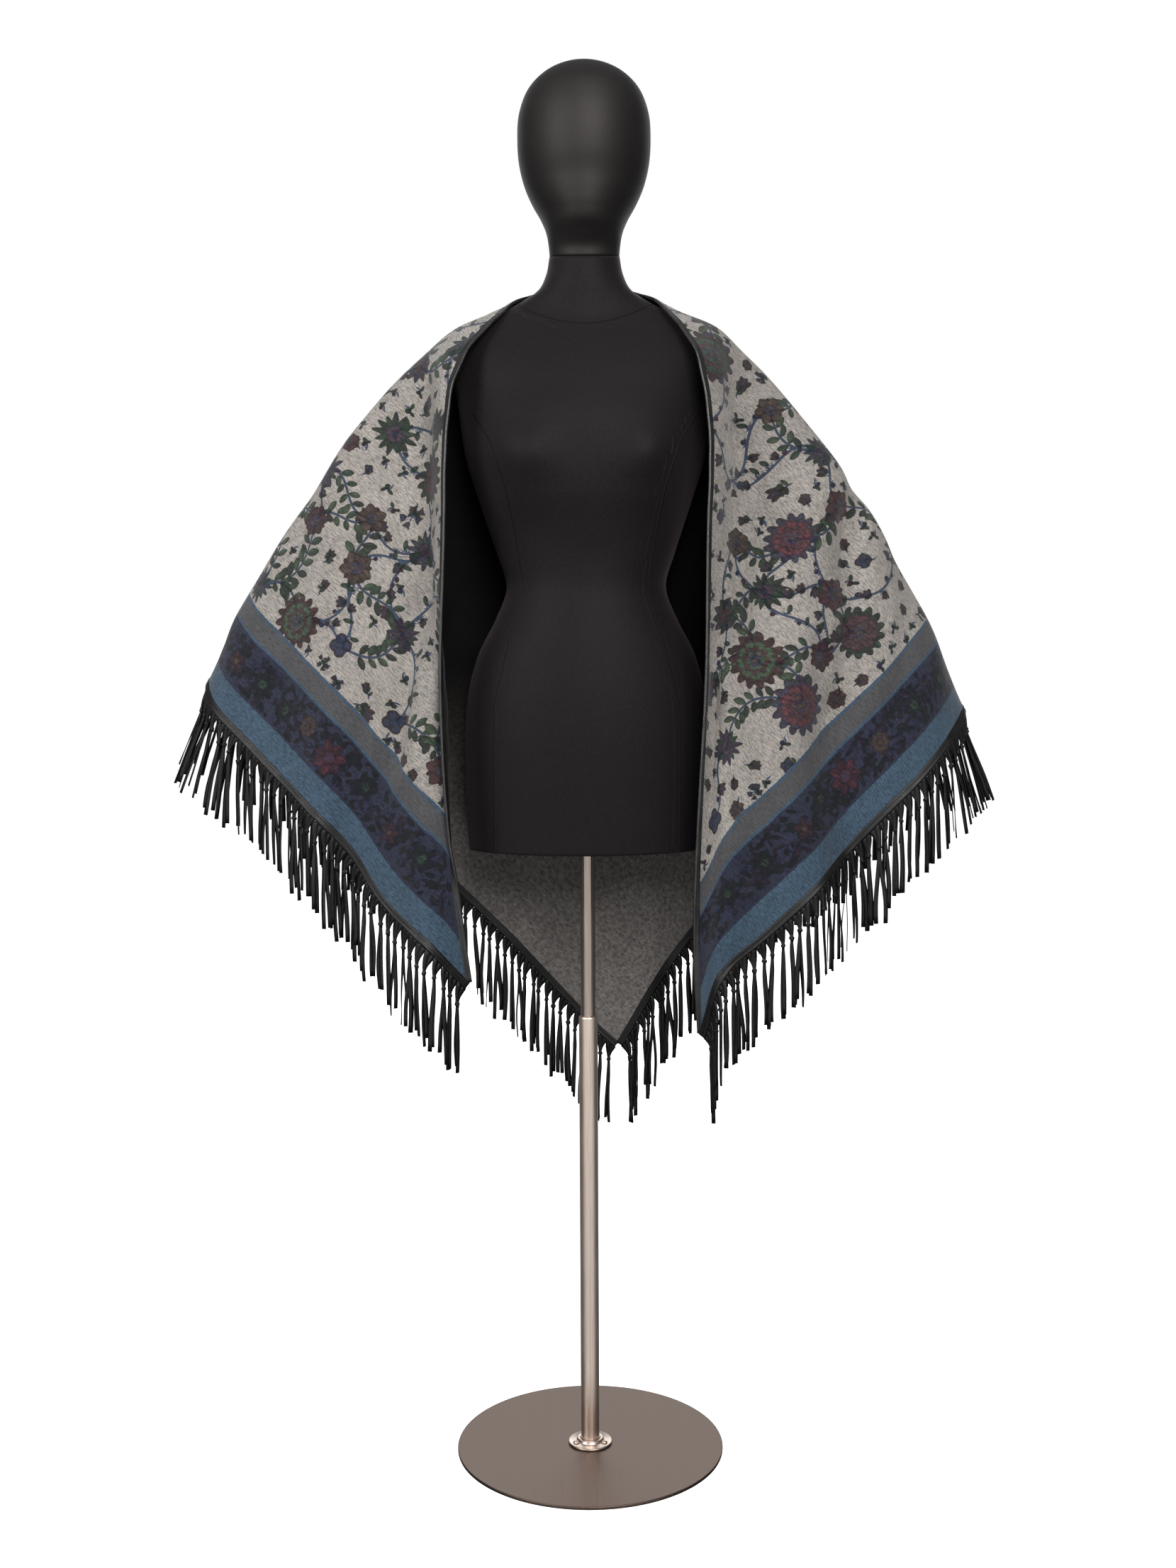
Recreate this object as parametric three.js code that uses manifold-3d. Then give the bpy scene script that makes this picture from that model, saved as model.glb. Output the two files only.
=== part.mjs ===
// Triangular shawl draped over a headed, limbless dress form on a round-base stand.
// Millimetres. +Z is up, the wearer faces -Y, the wearer's right is at -X.
// The frame's origin is the middle of the underside of the base.
import * as THREE from 'three';
import Module from 'manifold-3d';

const wasm = await Module();
wasm.setup();

// Cloth sizes
const LEG = 1480;             // each short side of the half-square of cloth
const CELLS = 40;             // lattice cells along a short side
const CELL = LEG / CELLS;
const CLOTH_THICK = 2;
const SEAM_GAP = 0.6;         // air between neighbouring pieces
const NAPE_SHIFT = 31;        // nape point lies this far from the middle of the long side
const FORM_CLEAR = 6;         // mid cloth to form, where the cloth lies on it

// Trim sizes
const EDGE_WIDTH = 6;
const EDGE_THICK = 4;
const HEM_WIDTH = 10;
const HEM_THICK = 4;
const TAPE_WIDTH = 4;
const TAPE_THICK = 3;
const LOCKS_PER_LEG = 96;
const LOCK_DROP = 112;
const LOCK_LEAN = 9;          // outward lean of a lock's cut end, on a level hem

// Stand sizes
const BASE_RADIUS = 175;
const BASE_THICK = 4;
const FLANGE_RADIUS = 29;
const FLANGE_THICK = 3;
const HUB_RADIUS = 17.5;
const HUB_HEIGHT = 7;
const LOWER_TUBE_RADIUS = 12.2;
const UPPER_TUBE_RADIUS = 9.5;
const TUBE_STEP_Z = 577;
const SCREW_CIRCLE = 21.5;
const GAP = 0.3;

// Dress form sections: z, half width, front depth, back depth, roundness power.
const FORM_SECTIONS = [
  [797, 152, 100, 105, 2.0],
  [850, 155.5, 102, 112, 2.0],
  [900, 156.5, 104, 118, 2.0],
  [950, 156, 105, 120, 2.0],
  [1000, 150.5, 103, 112, 2.0],
  [1050, 136, 97, 96, 2.0],
  [1090, 115.5, 90, 80, 2.0],
  [1130, 101.5, 84, 74, 2.0],
  [1170, 112, 87, 76, 2.0],
  [1200, 122, 94, 82, 2.0],
  [1245, 137, 106, 90, 2.0],
  [1290, 151, 110, 96, 2.0],
  [1334, 158, 106, 100, 2.0],
  [1370, 163, 94, 98, 2.0],
  [1400, 172, 82, 92, 1.9],
  [1420, 177, 72, 84, 1.8],
  [1432, 175, 66, 78, 1.7],
  [1442, 167, 60, 72, 1.6],
  [1455, 147, 54, 65, 1.5],
  [1470, 115, 50, 58, 1.5],
  [1485, 83, 49, 53, 1.7],
  [1500, 59, 49, 50, 2.0],
  [1520, 48.5, 48.5, 49, 2.0],
  [1543, 44, 46, 47, 2.0],
];
const BUST = { x: 84, z: 1285, out: 22, wide: 40, high: 46 };

// Head sections: z, half width, front depth, back depth, roundness power.
const HEAD_SECTIONS = [
  [1543.3, 43.8, 46, 47, 2.0],
  [1555, 44.9, 49, 53, 2.0],
  [1566, 46.6, 61, 59, 2.0],
  [1575, 49, 73, 63, 2.0],
  [1589, 55, 80, 71, 2.0],
  [1606, 64.8, 84, 79, 2.0],
  [1625, 73.5, 87, 87, 2.0],
  [1652, 80.8, 94, 94, 2.0],
  [1683, 83.3, 97, 98, 2.0],
  [1716, 80.8, 93, 96, 2.0],
  [1741, 71.2, 83, 86, 2.0],
  [1759, 55, 64, 67, 2.0],
  [1771, 34, 40, 42, 2.0],
];
const HEAD_TOP = 1777;

// Long side of the cloth, from the nape to each tip: distance, x, y, z.
const EDGE_LEFT = [
  [0, 0, 62, 1515],
  [45, -40, 52, 1510],
  [85, -62, 20, 1498],
  [148, -98, -20, 1471],
  [188, -121, -45, 1449],
  [229, -144, -67, 1420],
  [257, -155, -80, 1397],
  [291, -164, -90, 1366],
  [335, -169, -95, 1322],
  [464, -174, -100, 1194],
  [635, -178, -100, 1022],
  [809, -172, -105, 849],
  [932, -161, -105, 726],
  [1015.5, -148, -100, 636],
];
const EDGE_RIGHT = [
  [0, 0, 62, 1515],
  [45, 40, 52, 1510],
  [85, 60, 20, 1498],
  [139, 86, -20, 1477],
  [179, 110, -45, 1458],
  [214, 126, -67, 1433],
  [244, 137, -80, 1410],
  [290, 146, -90, 1366],
  [333, 151, -95, 1322],
  [461, 150, -100, 1194],
  [633, 148, -100, 1022],
  [807, 140, -105, 849],
  [939, 136, -105, 717],
  [1077.5, 140, -100, 571],
];
// Short sides, from each front tip round the side fold to the back point: distance, x, y, z.
const HEM_LEFT = [
  [0, -148, -100, 636],
  [85, -199, -120, 697],
  [155, -250, -90, 737],
  [235, -291, -75, 801],
  [300, -333, -85, 848],
  [375, -383, -50, 892],
  [455, -432, -20, 937],
  [535, -485, 20, 988],
  [585, -495, 60, 1015],
  [670, -470, 130, 985],
  [750, -410, 130, 930],
  [840, -360, 80, 885],
  [930, -315, 96, 845],
  [1000, -270, 146, 805],
  [1080, -215, 146, 765],
  [1180, -165, 118, 722],
  [1270, -108, 122, 665],
  [1370, -42, 140, 590],
  [1480, 40, 132, 505],
];
const HEM_RIGHT = [
  [0, 140, -100, 571],
  [99, 166, -120, 660],
  [163, 215, -105, 697],
  [251, 280, -100, 756],
  [334, 330, -55, 803],
  [399, 373, -60, 849],
  [463, 419, -50, 892],
  [559, 473, 0, 952],
  [610, 492, 45, 975],
  [690, 475, 120, 955],
  [770, 420, 135, 905],
  [860, 360, 84, 860],
  [950, 310, 94, 815],
  [1030, 265, 142, 775],
  [1110, 215, 150, 735],
  [1190, 180, 112, 707],
  [1270, 147, 106, 680],
  [1360, 104, 108, 622],
  [1420, 74, 122, 570],
  [1480, 40, 132, 505],
];
// Middle of the back, from the nape to the back point: distance, x, y, z.
const CENTRE_BACK = [
  [0, 0, 62, 1515],
  [60, 0, 92, 1465],
  [150, 0, 120, 1380],
  [350, 4, 135, 1185],
  [600, 16, 132, 945],
  [850, 30, 130, 705],
  [1047, 40, 132, 505],
];
// Shoulder points the two halves hang from: place on the flat cloth, place in the frame,
// how far the side fold swells outwards, and where along the short side the fold ends.
const SHOULDER_LEFT = { flat: [205, 60], at: [-198, 5, 1449], swell: 31, fold: 585, hand: 1 };
const SHOULDER_RIGHT = { flat: [205, 60], at: [192, 5, 1450], swell: 41, fold: 610, hand: -1 };
// Settling passes: count, smoothing, pull back to the laid-out shape.
const SETTLE = [
  [80, 0.2, 0.3],
  [80, 0.06, 0.3],
  [60, 0.02, 0.3],
];
const INNER_PULL = 0.2;
const WAVE_FADE = 1.7;        // how fast the hem waves die out towards the shoulders
const SQUASH = 0.2;           // share of the firmness kept when pushed together
const CLEAR_PASSES = 8;       // passes that lift whole faces off the form

const clamp = (v, a, b) => Math.max(a, Math.min(b, v));
const smooth = (t) => {
  const c = clamp(t, 0, 1);
  return c * c * (3 - 2 * c);
};
const cross = (a, b) => [
  a[1] * b[2] - a[2] * b[1],
  a[2] * b[0] - a[0] * b[2],
  a[0] * b[1] - a[1] * b[0],
];
const sub = (a, b) => [a[0] - b[0], a[1] - b[1], a[2] - b[2]];
const addScaled = (a, b, k) => [a[0] + b[0] * k, a[1] + b[1] * k, a[2] + b[2] * k];
const unit = (a) => {
  const l = Math.hypot(a[0], a[1], a[2]) || 1;
  return [a[0] / l, a[1] / l, a[2] / l];
};
const dot = (a, b) => a[0] * b[0] + a[1] * b[1] + a[2] * b[2];

// Smooth curve through the rows of a table whose first column is the distance.
function along(table, s) {
  const n = table.length;
  let k = 0;
  while (k < n - 2 && s > table[k + 1][0]) k += 1;
  const slope = (i, c) => {
    const rise = (j) => (table[j + 1][c] - table[j][c]) / (table[j + 1][0] - table[j][0]);
    if (i === 0) return rise(0);
    if (i === n - 1) return rise(n - 2);
    const w = (table[i + 1][0] - table[i][0]) / (table[i + 1][0] - table[i - 1][0]);
    return rise(i - 1) * w + rise(i) * (1 - w);
  };
  const h = table[k + 1][0] - table[k][0];
  const u = clamp((s - table[k][0]) / h, 0, 1);
  const out = [];
  for (let c = 1; c < table[0].length; c += 1) {
    const p = table[k][c];
    const q = table[k + 1][c];
    const mp = slope(k, c) * h;
    const mq = slope(k + 1, c) * h;
    const v = p * (1 + 2 * u) * (1 - u) ** 2 + q * u * u * (3 - 2 * u)
      + mp * u * (1 - u) ** 2 + mq * u * u * (u - 1);
    out.push(v);
  }
  return out;
}

// Laid-out shape of the cloth
const HALF = LEG / Math.SQRT2;
const CALM_STEP = 40;         // spacing of the seven places whose mean depth has no waves
function calmDepth(hem, s) {
  let total = 0;
  for (let w = -3; w <= 3; w += 1) total += along(hem, clamp(s + w * CALM_STEP, 0, LEG))[1];
  return total / 7;
}
function layOut(u, v, side) {
  const edge = side.hand > 0 ? EDGE_LEFT : EDGE_RIGHT;
  const hem = side.hand > 0 ? HEM_LEFT : HEM_RIGHT;
  const tip = edge[edge.length - 1][0];
  const pointU = -side.hand * NAPE_SHIFT;
  const fold = side.fold / LEG;
  const from = side.flat;
  const reach = Math.hypot(side.hand * u - from[0], v - from[1]) + 1e-6;
  const du = (side.hand * u - from[0]) / reach;
  const dv = (v - from[1]) / reach;
  const borders = [
    [0, 0, tip, 0, 'edge'],
    [tip, 0, pointU, HALF, 'hem'],
    [pointU, HALF, 0, 0, 'centre'],
  ];
  let best = Infinity;
  let place = side.at.slice();
  for (const [x0, y0, x1, y1, kind] of borders) {
    const ex = x1 - x0;
    const ey = y1 - y0;
    const den = du * ey - dv * ex;
    const t = ((x0 - from[0]) * ey - (y0 - from[1]) * ex) / den;
    const q = ((x0 - from[0]) * dv - (y0 - from[1]) * du) / den;
    if (!(t > 0 && q > -1e-9 && q < 1 + 1e-9 && t < best)) continue;
    best = t;
    const qq = clamp(q, 0, 1);
    let border;
    let calm = null;
    if (kind === 'edge') {
      border = along(edge, qq * tip);
    } else if (kind === 'hem') {
      border = along(hem, qq * LEG);
      calm = calmDepth(hem, qq * LEG);
    } else {
      border = along(CENTRE_BACK, (1 - qq) * CENTRE_BACK[CENTRE_BACK.length - 1][0]);
    }
    const rho = clamp(reach / t, 0, 1);
    let round = 1;
    let swell = 0;
    if (kind === 'hem') {
      round = qq < fold ? smooth((fold - qq) / fold) : smooth((qq - fold) / (1 - fold));
      swell = side.swell * Math.exp(-(((qq - fold) / 0.16) ** 2)) * 2.6 * rho ** 0.7 * (1 - rho);
    }
    const depth = rho * (1 - round) + round * Math.sin(rho * Math.PI / 2);
    const base = calm === null ? border[1] : calm;
    const wave = (border[1] - base) * rho ** WAVE_FADE;
    place = [
      side.at[0] + rho * (border[0] - side.at[0]) - side.hand * swell * 0.8,
      side.at[1] + depth * (base - side.at[1]) + wave,
      side.at[2] + rho * (border[2] - side.at[2]) + swell * 0.6,
    ];
  }
  return place;
}

// Form surface, used to keep the cloth off it
function sectionAt(z) {
  let k = 0;
  while (k < FORM_SECTIONS.length - 2 && z > FORM_SECTIONS[k + 1][0]) k += 1;
  const a = FORM_SECTIONS[k];
  const b = FORM_SECTIONS[k + 1];
  const t = clamp((z - a[0]) / (b[0] - a[0]), 0, 1);
  return a.map((v, i) => v + (b[i] - v) * t);
}
function formLevel(x, y, z) {
  const s = sectionAt(z);
  const wide = s[1] + FORM_CLEAR;
  const deep = (y < 0 ? s[2] : s[3]) + FORM_CLEAR;
  const p = s[4];
  return (Math.abs(x / wide) ** p + Math.abs(y / deep) ** p) ** (1 / p);
}
function keepOff(p) {
  if (p[2] <= FORM_SECTIONS[0][0] || p[2] >= FORM_SECTIONS[FORM_SECTIONS.length - 1][0]) return;
  const level = formLevel(p[0], p[1], p[2]);
  if (level >= 1) return;
  const h = 2;
  const g = [
    (formLevel(p[0] + h, p[1], p[2]) - formLevel(p[0] - h, p[1], p[2])) / (2 * h),
    (formLevel(p[0], p[1] + h, p[2]) - formLevel(p[0], p[1] - h, p[2])) / (2 * h),
    (formLevel(p[0], p[1], p[2] + h) - formLevel(p[0], p[1], p[2] - h)) / (2 * h),
  ];
  const g2 = dot(g, g) + 1e-12;
  const k = Math.min((1 - level) / g2, 30 / Math.sqrt(g2));
  p[0] += k * g[0];
  p[1] += k * g[1];
  p[2] += k * g[2];
}

// Settling the lattice
const inside = (i, j) => i >= 0 && j >= 0 && i + j <= CELLS;
const at = (i, j) => i * (CELLS + 1) + j;
const TIES = [[1, 0], [0, 1], [1, -1], [1, 1]];
const LINES = [[1, 0], [0, 1], [1, -1]];
function drape() {
  const laid = [];
  const now = [];
  const pull = [];
  for (let i = 0; i <= CELLS; i += 1) {
    for (let j = 0; j <= CELLS; j += 1) {
      let p = [0, 0, 0];
      if (inside(i, j)) {
        const u = (i - j) * CELL / Math.SQRT2 - NAPE_SHIFT;
        const v = HALF - (i + j) * CELL / Math.SQRT2;
        const left = u + NAPE_SHIFT * v / HALF >= 0;
        p = layOut(u, v, left ? SHOULDER_LEFT : SHOULDER_RIGHT);
      }
      laid.push(p.slice());
      now.push(p.slice());
      pull.push(i === 0 || j === 0 || i + j === CELLS ? 1 : INNER_PULL);
    }
  }
  for (const [passes, bend, back] of SETTLE) {
    for (let pass = 0; pass < passes; pass += 1) {
      const move = now.map(() => [0, 0, 0, 0]);
      for (const [di, dj] of TIES) {
        const rest = CELL * Math.hypot(di, dj);
        const firm = di * dj === 0 ? 1 : 0.5;
        for (let i = 0; i <= CELLS; i += 1) {
          for (let j = 0; j <= CELLS; j += 1) {
            if (!inside(i, j) || !inside(i + di, j + dj)) continue;
            const a = at(i, j);
            const b = at(i + di, j + dj);
            const d = sub(now[b], now[a]);
            const l = Math.hypot(d[0], d[1], d[2]) + 1e-9;
            const k = 0.5 * firm * (l > rest ? 1 : SQUASH) * (l - rest) / l;
            for (let c = 0; c < 3; c += 1) {
              move[a][c] += k * d[c];
              move[b][c] -= k * d[c];
            }
            move[a][3] += 1;
            move[b][3] += 1;
          }
        }
      }
      now.forEach((p, n) => {
        const w = 1.6 / Math.max(1, move[n][3]);
        for (let c = 0; c < 3; c += 1) p[c] += w * move[n][c];
      });
      const ease = now.map(() => [0, 0, 0, 0]);
      for (const [di, dj] of LINES) {
        for (let i = 0; i <= CELLS; i += 1) {
          for (let j = 0; j <= CELLS; j += 1) {
            if (!inside(i, j) || !inside(i + di, j + dj) || !inside(i - di, j - dj)) continue;
            const m = at(i, j);
            const a = now[at(i + di, j + dj)];
            const b = now[at(i - di, j - dj)];
            for (let c = 0; c < 3; c += 1) ease[m][c] += 0.5 * (a[c] + b[c]) - now[m][c];
            ease[m][3] += 1;
          }
        }
      }
      for (let i = 0; i <= CELLS; i += 1) {
        for (let j = 0; i + j <= CELLS; j += 1) {
          const n = at(i, j);
          const p = now[n];
          const w = bend / Math.max(1, ease[n][3]);
          for (let c = 0; c < 3; c += 1) p[c] += w * ease[n][c];
          keepOff(p);
          const k = back * pull[n];
          for (let c = 0; c < 3; c += 1) p[c] += k * (laid[n][c] - p[c]);
        }
      }
    }
  }
  for (let pass = 0; pass < CLEAR_PASSES; pass += 1) {
    for (let i = 0; i <= CELLS; i += 1) {
      for (let j = 0; i + j <= CELLS; j += 1) keepOff(now[at(i, j)]);
    }
    for (const [a, b, c] of faces) {
      liftFace(now, [a, b, c]);
      liftFace(now, [a, b]);
      liftFace(now, [b, c]);
      liftFace(now, [c, a]);
    }
  }
  return now;
}

// Triangles of the lattice, wound so that their normals point away from the form.
const faces = [];
for (let i = 0; i < CELLS; i += 1) {
  for (let j = 0; i + j < CELLS; j += 1) {
    faces.push([at(i, j), at(i, j + 1), at(i + 1, j)]);
    if (i + j + 2 <= CELLS) faces.push([at(i + 1, j + 1), at(i + 1, j), at(i, j + 1)]);
  }
}
// Move the corners of a face or tie until its middle is off the form as well.
function liftFace(points, ids) {
  const mid = [0, 0, 0];
  for (const n of ids) {
    for (let c = 0; c < 3; c += 1) mid[c] += points[n][c] / ids.length;
  }
  const was = mid.slice();
  keepOff(mid);
  for (const n of ids) {
    for (let c = 0; c < 3; c += 1) points[n][c] += mid[c] - was[c];
  }
}
const cloth = drape();

const normals = cloth.map(() => [0, 0, 0]);
for (const [a, b, c] of faces) {
  const n = cross(sub(cloth[b], cloth[a]), sub(cloth[c], cloth[a]));
  for (const k of [a, b, c]) normals[k] = addScaled(normals[k], n, 1);
}
for (let k = 0; k < normals.length; k += 1) normals[k] = unit(normals[k]);

function solid(name, points, triangles, colour, look = {}) {
  const geometry = new THREE.BufferGeometry();
  geometry.setAttribute('position', new THREE.Float32BufferAttribute(points.flat(), 3));
  geometry.setIndex(triangles.flat());
  geometry.computeVertexNormals();
  const material = new THREE.MeshStandardMaterial({ color: colour, roughness: 0.8, ...look });
  const mesh = new THREE.Mesh(geometry, material);
  mesh.name = name;
  return mesh;
}

// Cloth wall
function clothWall() {
  const map = new Map();
  const points = [];
  for (let i = 0; i <= CELLS; i += 1) {
    for (let j = 0; i + j <= CELLS; j += 1) {
      const n = at(i, j);
      map.set(n, points.length);
      points.push(addScaled(cloth[n], normals[n], CLOTH_THICK / 2));
      points.push(addScaled(cloth[n], normals[n], -CLOTH_THICK / 2));
    }
  }
  const outer = (n) => map.get(n);
  const inner = (n) => map.get(n) + 1;
  const triangles = [];
  for (const [a, b, c] of faces) {
    triangles.push([outer(a), outer(b), outer(c)]);
    triangles.push([inner(a), inner(c), inner(b)]);
  }
  const rim = [];
  for (let k = 0; k < CELLS; k += 1) {
    rim.push([at(k + 1, 0), at(k, 0)]);
    rim.push([at(0, k), at(0, k + 1)]);
    rim.push([at(k, CELLS - k), at(k + 1, CELLS - k - 1)]);
  }
  for (const [a, b] of rim) {
    triangles.push([outer(a), inner(a), inner(b)]);
    triangles.push([outer(a), inner(b), outer(b)]);
  }
  return solid('shawl_cloth', points, triangles, 0x8d8478, { roughness: 0.95 });
}

// Border of the cloth as stations: point, outward direction in the cloth, cloth normal.
function border(ids, outwardFrom) {
  return ids.map((n, k) => {
    const a = cloth[ids[Math.max(0, k - 1)]];
    const b = cloth[ids[Math.min(ids.length - 1, k + 1)]];
    const run = unit(sub(b, a));
    const normal = unit(addScaled(normals[n], run, -dot(normals[n], run)));
    let out = unit(cross(run, normal));
    if (dot(out, sub(cloth[n], cloth[outwardFrom[k]])) < 0) out = out.map((v) => -v);
    return { p: cloth[n], out, normal, run };
  });
}
const legIds = [];
const legInner = [];
const otherIds = [];
const otherInner = [];
const longIds = [];
const longInner = [];
for (let k = 0; k <= CELLS; k += 1) {
  legIds.push(at(k, 0));
  legInner.push(k < CELLS ? at(Math.max(0, k - 1), 1) : at(CELLS - 2, 1));
  otherIds.push(at(0, k));
  otherInner.push(k < CELLS ? at(1, Math.max(0, k - 1)) : at(1, CELLS - 2));
  longIds.push(at(k, CELLS - k));
  longInner.push(at(Math.max(0, k - 1), Math.max(0, CELLS - k - 1)));
}
legInner[0] = at(1, 1);
otherInner[0] = at(1, 1);
const leftBorder = border(legIds, legInner);
const rightBorder = border(otherIds, otherInner);
const longBorder = border(longIds, longInner);

// Pull the end stations in along the run so strips of neighbouring sides stay apart.
function trimmed(stations, startTrim, endTrim) {
  const list = stations.map((s) => ({ ...s }));
  list[0].p = addScaled(list[0].p, unit(sub(list[1].p, list[0].p)), startTrim);
  const e = list.length - 1;
  list[e].p = addScaled(list[e].p, unit(sub(list[e - 1].p, list[e].p)), endTrim);
  return list;
}

// Strip laid beside the border: section corners are (outward, normal) pairs, in order.
function strip(stations, corners) {
  const points = [];
  const triangles = [];
  const m = corners.length;
  for (const s of stations) {
    for (const [o, h] of corners) {
      points.push(addScaled(addScaled(s.p, s.out, o), s.normal, h));
    }
  }
  const probe = stations[0];
  const turn = dot(cross(probe.out, probe.normal), sub(stations[1].p, probe.p)) > 0;
  const add = (a, b, c) => triangles.push(turn ? [a, b, c] : [a, c, b]);
  for (let k = 0; k < stations.length - 1; k += 1) {
    for (let c = 0; c < m; c += 1) {
      const a = k * m + c;
      const b = k * m + (c + 1) % m;
      add(a, b, b + m);
      add(a, b + m, a + m);
    }
  }
  for (let c = 1; c < m - 1; c += 1) {
    add(0, c + 1, c);
    const z = (stations.length - 1) * m;
    add(z, z + c, z + c + 1);
  }
  return { points, triangles };
}
function rounded(from, width, thick) {
  const h = thick / 2;
  return [
    [from, -h],
    [from + width * 0.75, -h],
    [from + width, 0],
    [from + width * 0.75, h],
    [from, h],
  ];
}
function flatStrip(from, width, thick) {
  const h = thick / 2;
  return [[from, -h], [from + width, -h], [from + width, h], [from, h]];
}

// Fringe
const noise = (k, s) => {
  const v = Math.sin(k * 12.9898 + s * 78.233) * 43758.5453;
  return v - Math.floor(v);
};
function toManifold(shape) {
  const mesh = new wasm.Mesh({
    numProp: 3,
    vertProperties: new Float32Array(shape.points.flat()),
    triVerts: new Uint32Array(shape.triangles.flat()),
  });
  return new wasm.Manifold(mesh);
}
function stationAt(stations, s) {
  const f = clamp(s / CELL, 0, CELLS - 1e-6);
  const k = Math.floor(f);
  const t = f - k;
  const a = stations[k];
  const b = stations[k + 1];
  const mix = (p, q) => p.map((v, i) => v + (q[i] - v) * t);
  return { p: mix(a.p, b.p), out: unit(mix(a.out, b.out)), normal: unit(mix(a.normal, b.normal)) };
}
// One lock: three-sided, from inside the tape to the cut end.
function lock(station, from, k, seed) {
  const r = (s) => noise(k + 1, s + seed);
  const root = addScaled(station.p, station.out, from);
  const level = Math.hypot(station.out[0], station.out[1]);
  const lean = LOCK_LEAN * (0.5 + level);
  const sway = [
    station.out[0] * lean + (r(1) - 0.5) * 6,
    station.out[1] * lean + (r(2) - 0.5) * 6,
    0,
  ];
  const drop = LOCK_DROP * (0.92 + 0.16 * r(3));
  const end = [root[0] + sway[0], root[1] + sway[1], root[2] - drop];
  const across = unit([-station.normal[1], station.normal[0], 0]);
  const through = unit([station.normal[0], station.normal[1], 0]);
  const ring = (c, w, d) => [
    addScaled(addScaled(c, across, -w / 2), through, -d / 2),
    addScaled(addScaled(c, across, w / 2), through, -d / 2),
    addScaled(c, through, d / 2),
  ];
  const points = [...ring(root, 7, 2.2), ...ring(end, 8, 3)];
  const triangles = [];
  for (let a = 0; a < 3; a += 1) {
    const b = (a + 1) % 3;
    triangles.push([a, a + 3, b + 3], [a, b + 3, b]);
  }
  triangles.push([0, 1, 2], [3, 5, 4]);
  const test = dot(cross(sub(points[3], points[0]), sub(points[4], points[0])), through);
  if (test > 0) return { points, triangles: triangles.map(([a, b, c]) => [a, c, b]) };
  return { points, triangles };
}
function fringe(name, stations, seed) {
  const from = HEM_WIDTH + 2 * SEAM_GAP;
  let body = toManifold(strip(trimmed(stations, 1, 1), flatStrip(from, TAPE_WIDTH, TAPE_THICK)));
  const locks = [];
  for (let k = 0; k < LOCKS_PER_LEG; k += 1) {
    const s = (k + 0.6) * LEG / LOCKS_PER_LEG;
    locks.push(toManifold(lock(stationAt(stations, s), from + TAPE_WIDTH * 0.55, k, seed)));
  }
  body = wasm.Manifold.union([body, ...locks]);
  const mesh = body.getMesh();
  const points = [];
  for (let v = 0; v < mesh.numVert; v += 1) {
    const o = v * mesh.numProp;
    points.push([mesh.vertProperties[o], mesh.vertProperties[o + 1], mesh.vertProperties[o + 2]]);
  }
  const triangles = [];
  for (let f = 0; f < mesh.numTri; f += 1) {
    triangles.push([mesh.triVerts[3 * f], mesh.triVerts[3 * f + 1], mesh.triVerts[3 * f + 2]]);
  }
  return solid(name, points, triangles, 0x1c1b1b, { roughness: 0.6 });
}

// Dress form
const SIDES = 24;
function sectionRing([z, wide, front, back, power]) {
  const ring = [];
  for (let k = 0; k < SIDES; k += 1) {
    const a = 2 * Math.PI * k / SIDES;
    const c = Math.cos(a);
    const s = Math.sin(a);
    const deep = s < 0 ? front : back;
    const x = wide * Math.sign(c) * Math.abs(c) ** (2 / power);
    let y = deep * Math.sign(s) * Math.abs(s) ** (2 / power);
    if (y < 0) {
      const dx = (Math.abs(x) - BUST.x) / BUST.wide;
      const dz = (z - BUST.z) / BUST.high;
      y -= BUST.out * Math.exp(-dx * dx - dz * dz) * clamp(-s * 2, 0, 1);
    }
    ring.push([x, y, z]);
  }
  return ring;
}
function sectionStack(sections, topZ) {
  const points = sections.map(sectionRing).flat();
  const triangles = [];
  for (let r = 0; r < sections.length - 1; r += 1) {
    for (let k = 0; k < SIDES; k += 1) {
      const a = r * SIDES + k;
      const b = r * SIDES + (k + 1) % SIDES;
      triangles.push([a, b, b + SIDES], [a, b + SIDES, a + SIDES]);
    }
  }
  for (let k = 1; k < SIDES - 1; k += 1) triangles.push([0, k + 1, k]);
  const last = (sections.length - 1) * SIDES;
  if (topZ) {
    points.push([0, 0, topZ]);
    const tip = points.length - 1;
    for (let k = 0; k < SIDES; k += 1) triangles.push([last + k, last + (k + 1) % SIDES, tip]);
  } else {
    for (let k = 1; k < SIDES - 1; k += 1) triangles.push([last, last + k, last + k + 1]);
  }
  return { points, triangles };
}

// Stand
function turned(name, profile, sides, colour) {
  const outline = profile.map(([r, z]) => new THREE.Vector2(r, z));
  const geometry = new THREE.LatheGeometry(outline, sides);
  geometry.rotateX(Math.PI / 2);
  const look = { color: colour, roughness: 0.35, metalness: 1 };
  const mesh = new THREE.Mesh(geometry, new THREE.MeshStandardMaterial(look));
  mesh.name = name;
  return mesh;
}

const group = new THREE.Group();
group.name = 'shawl_on_form';
group.add(clothWall());

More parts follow.
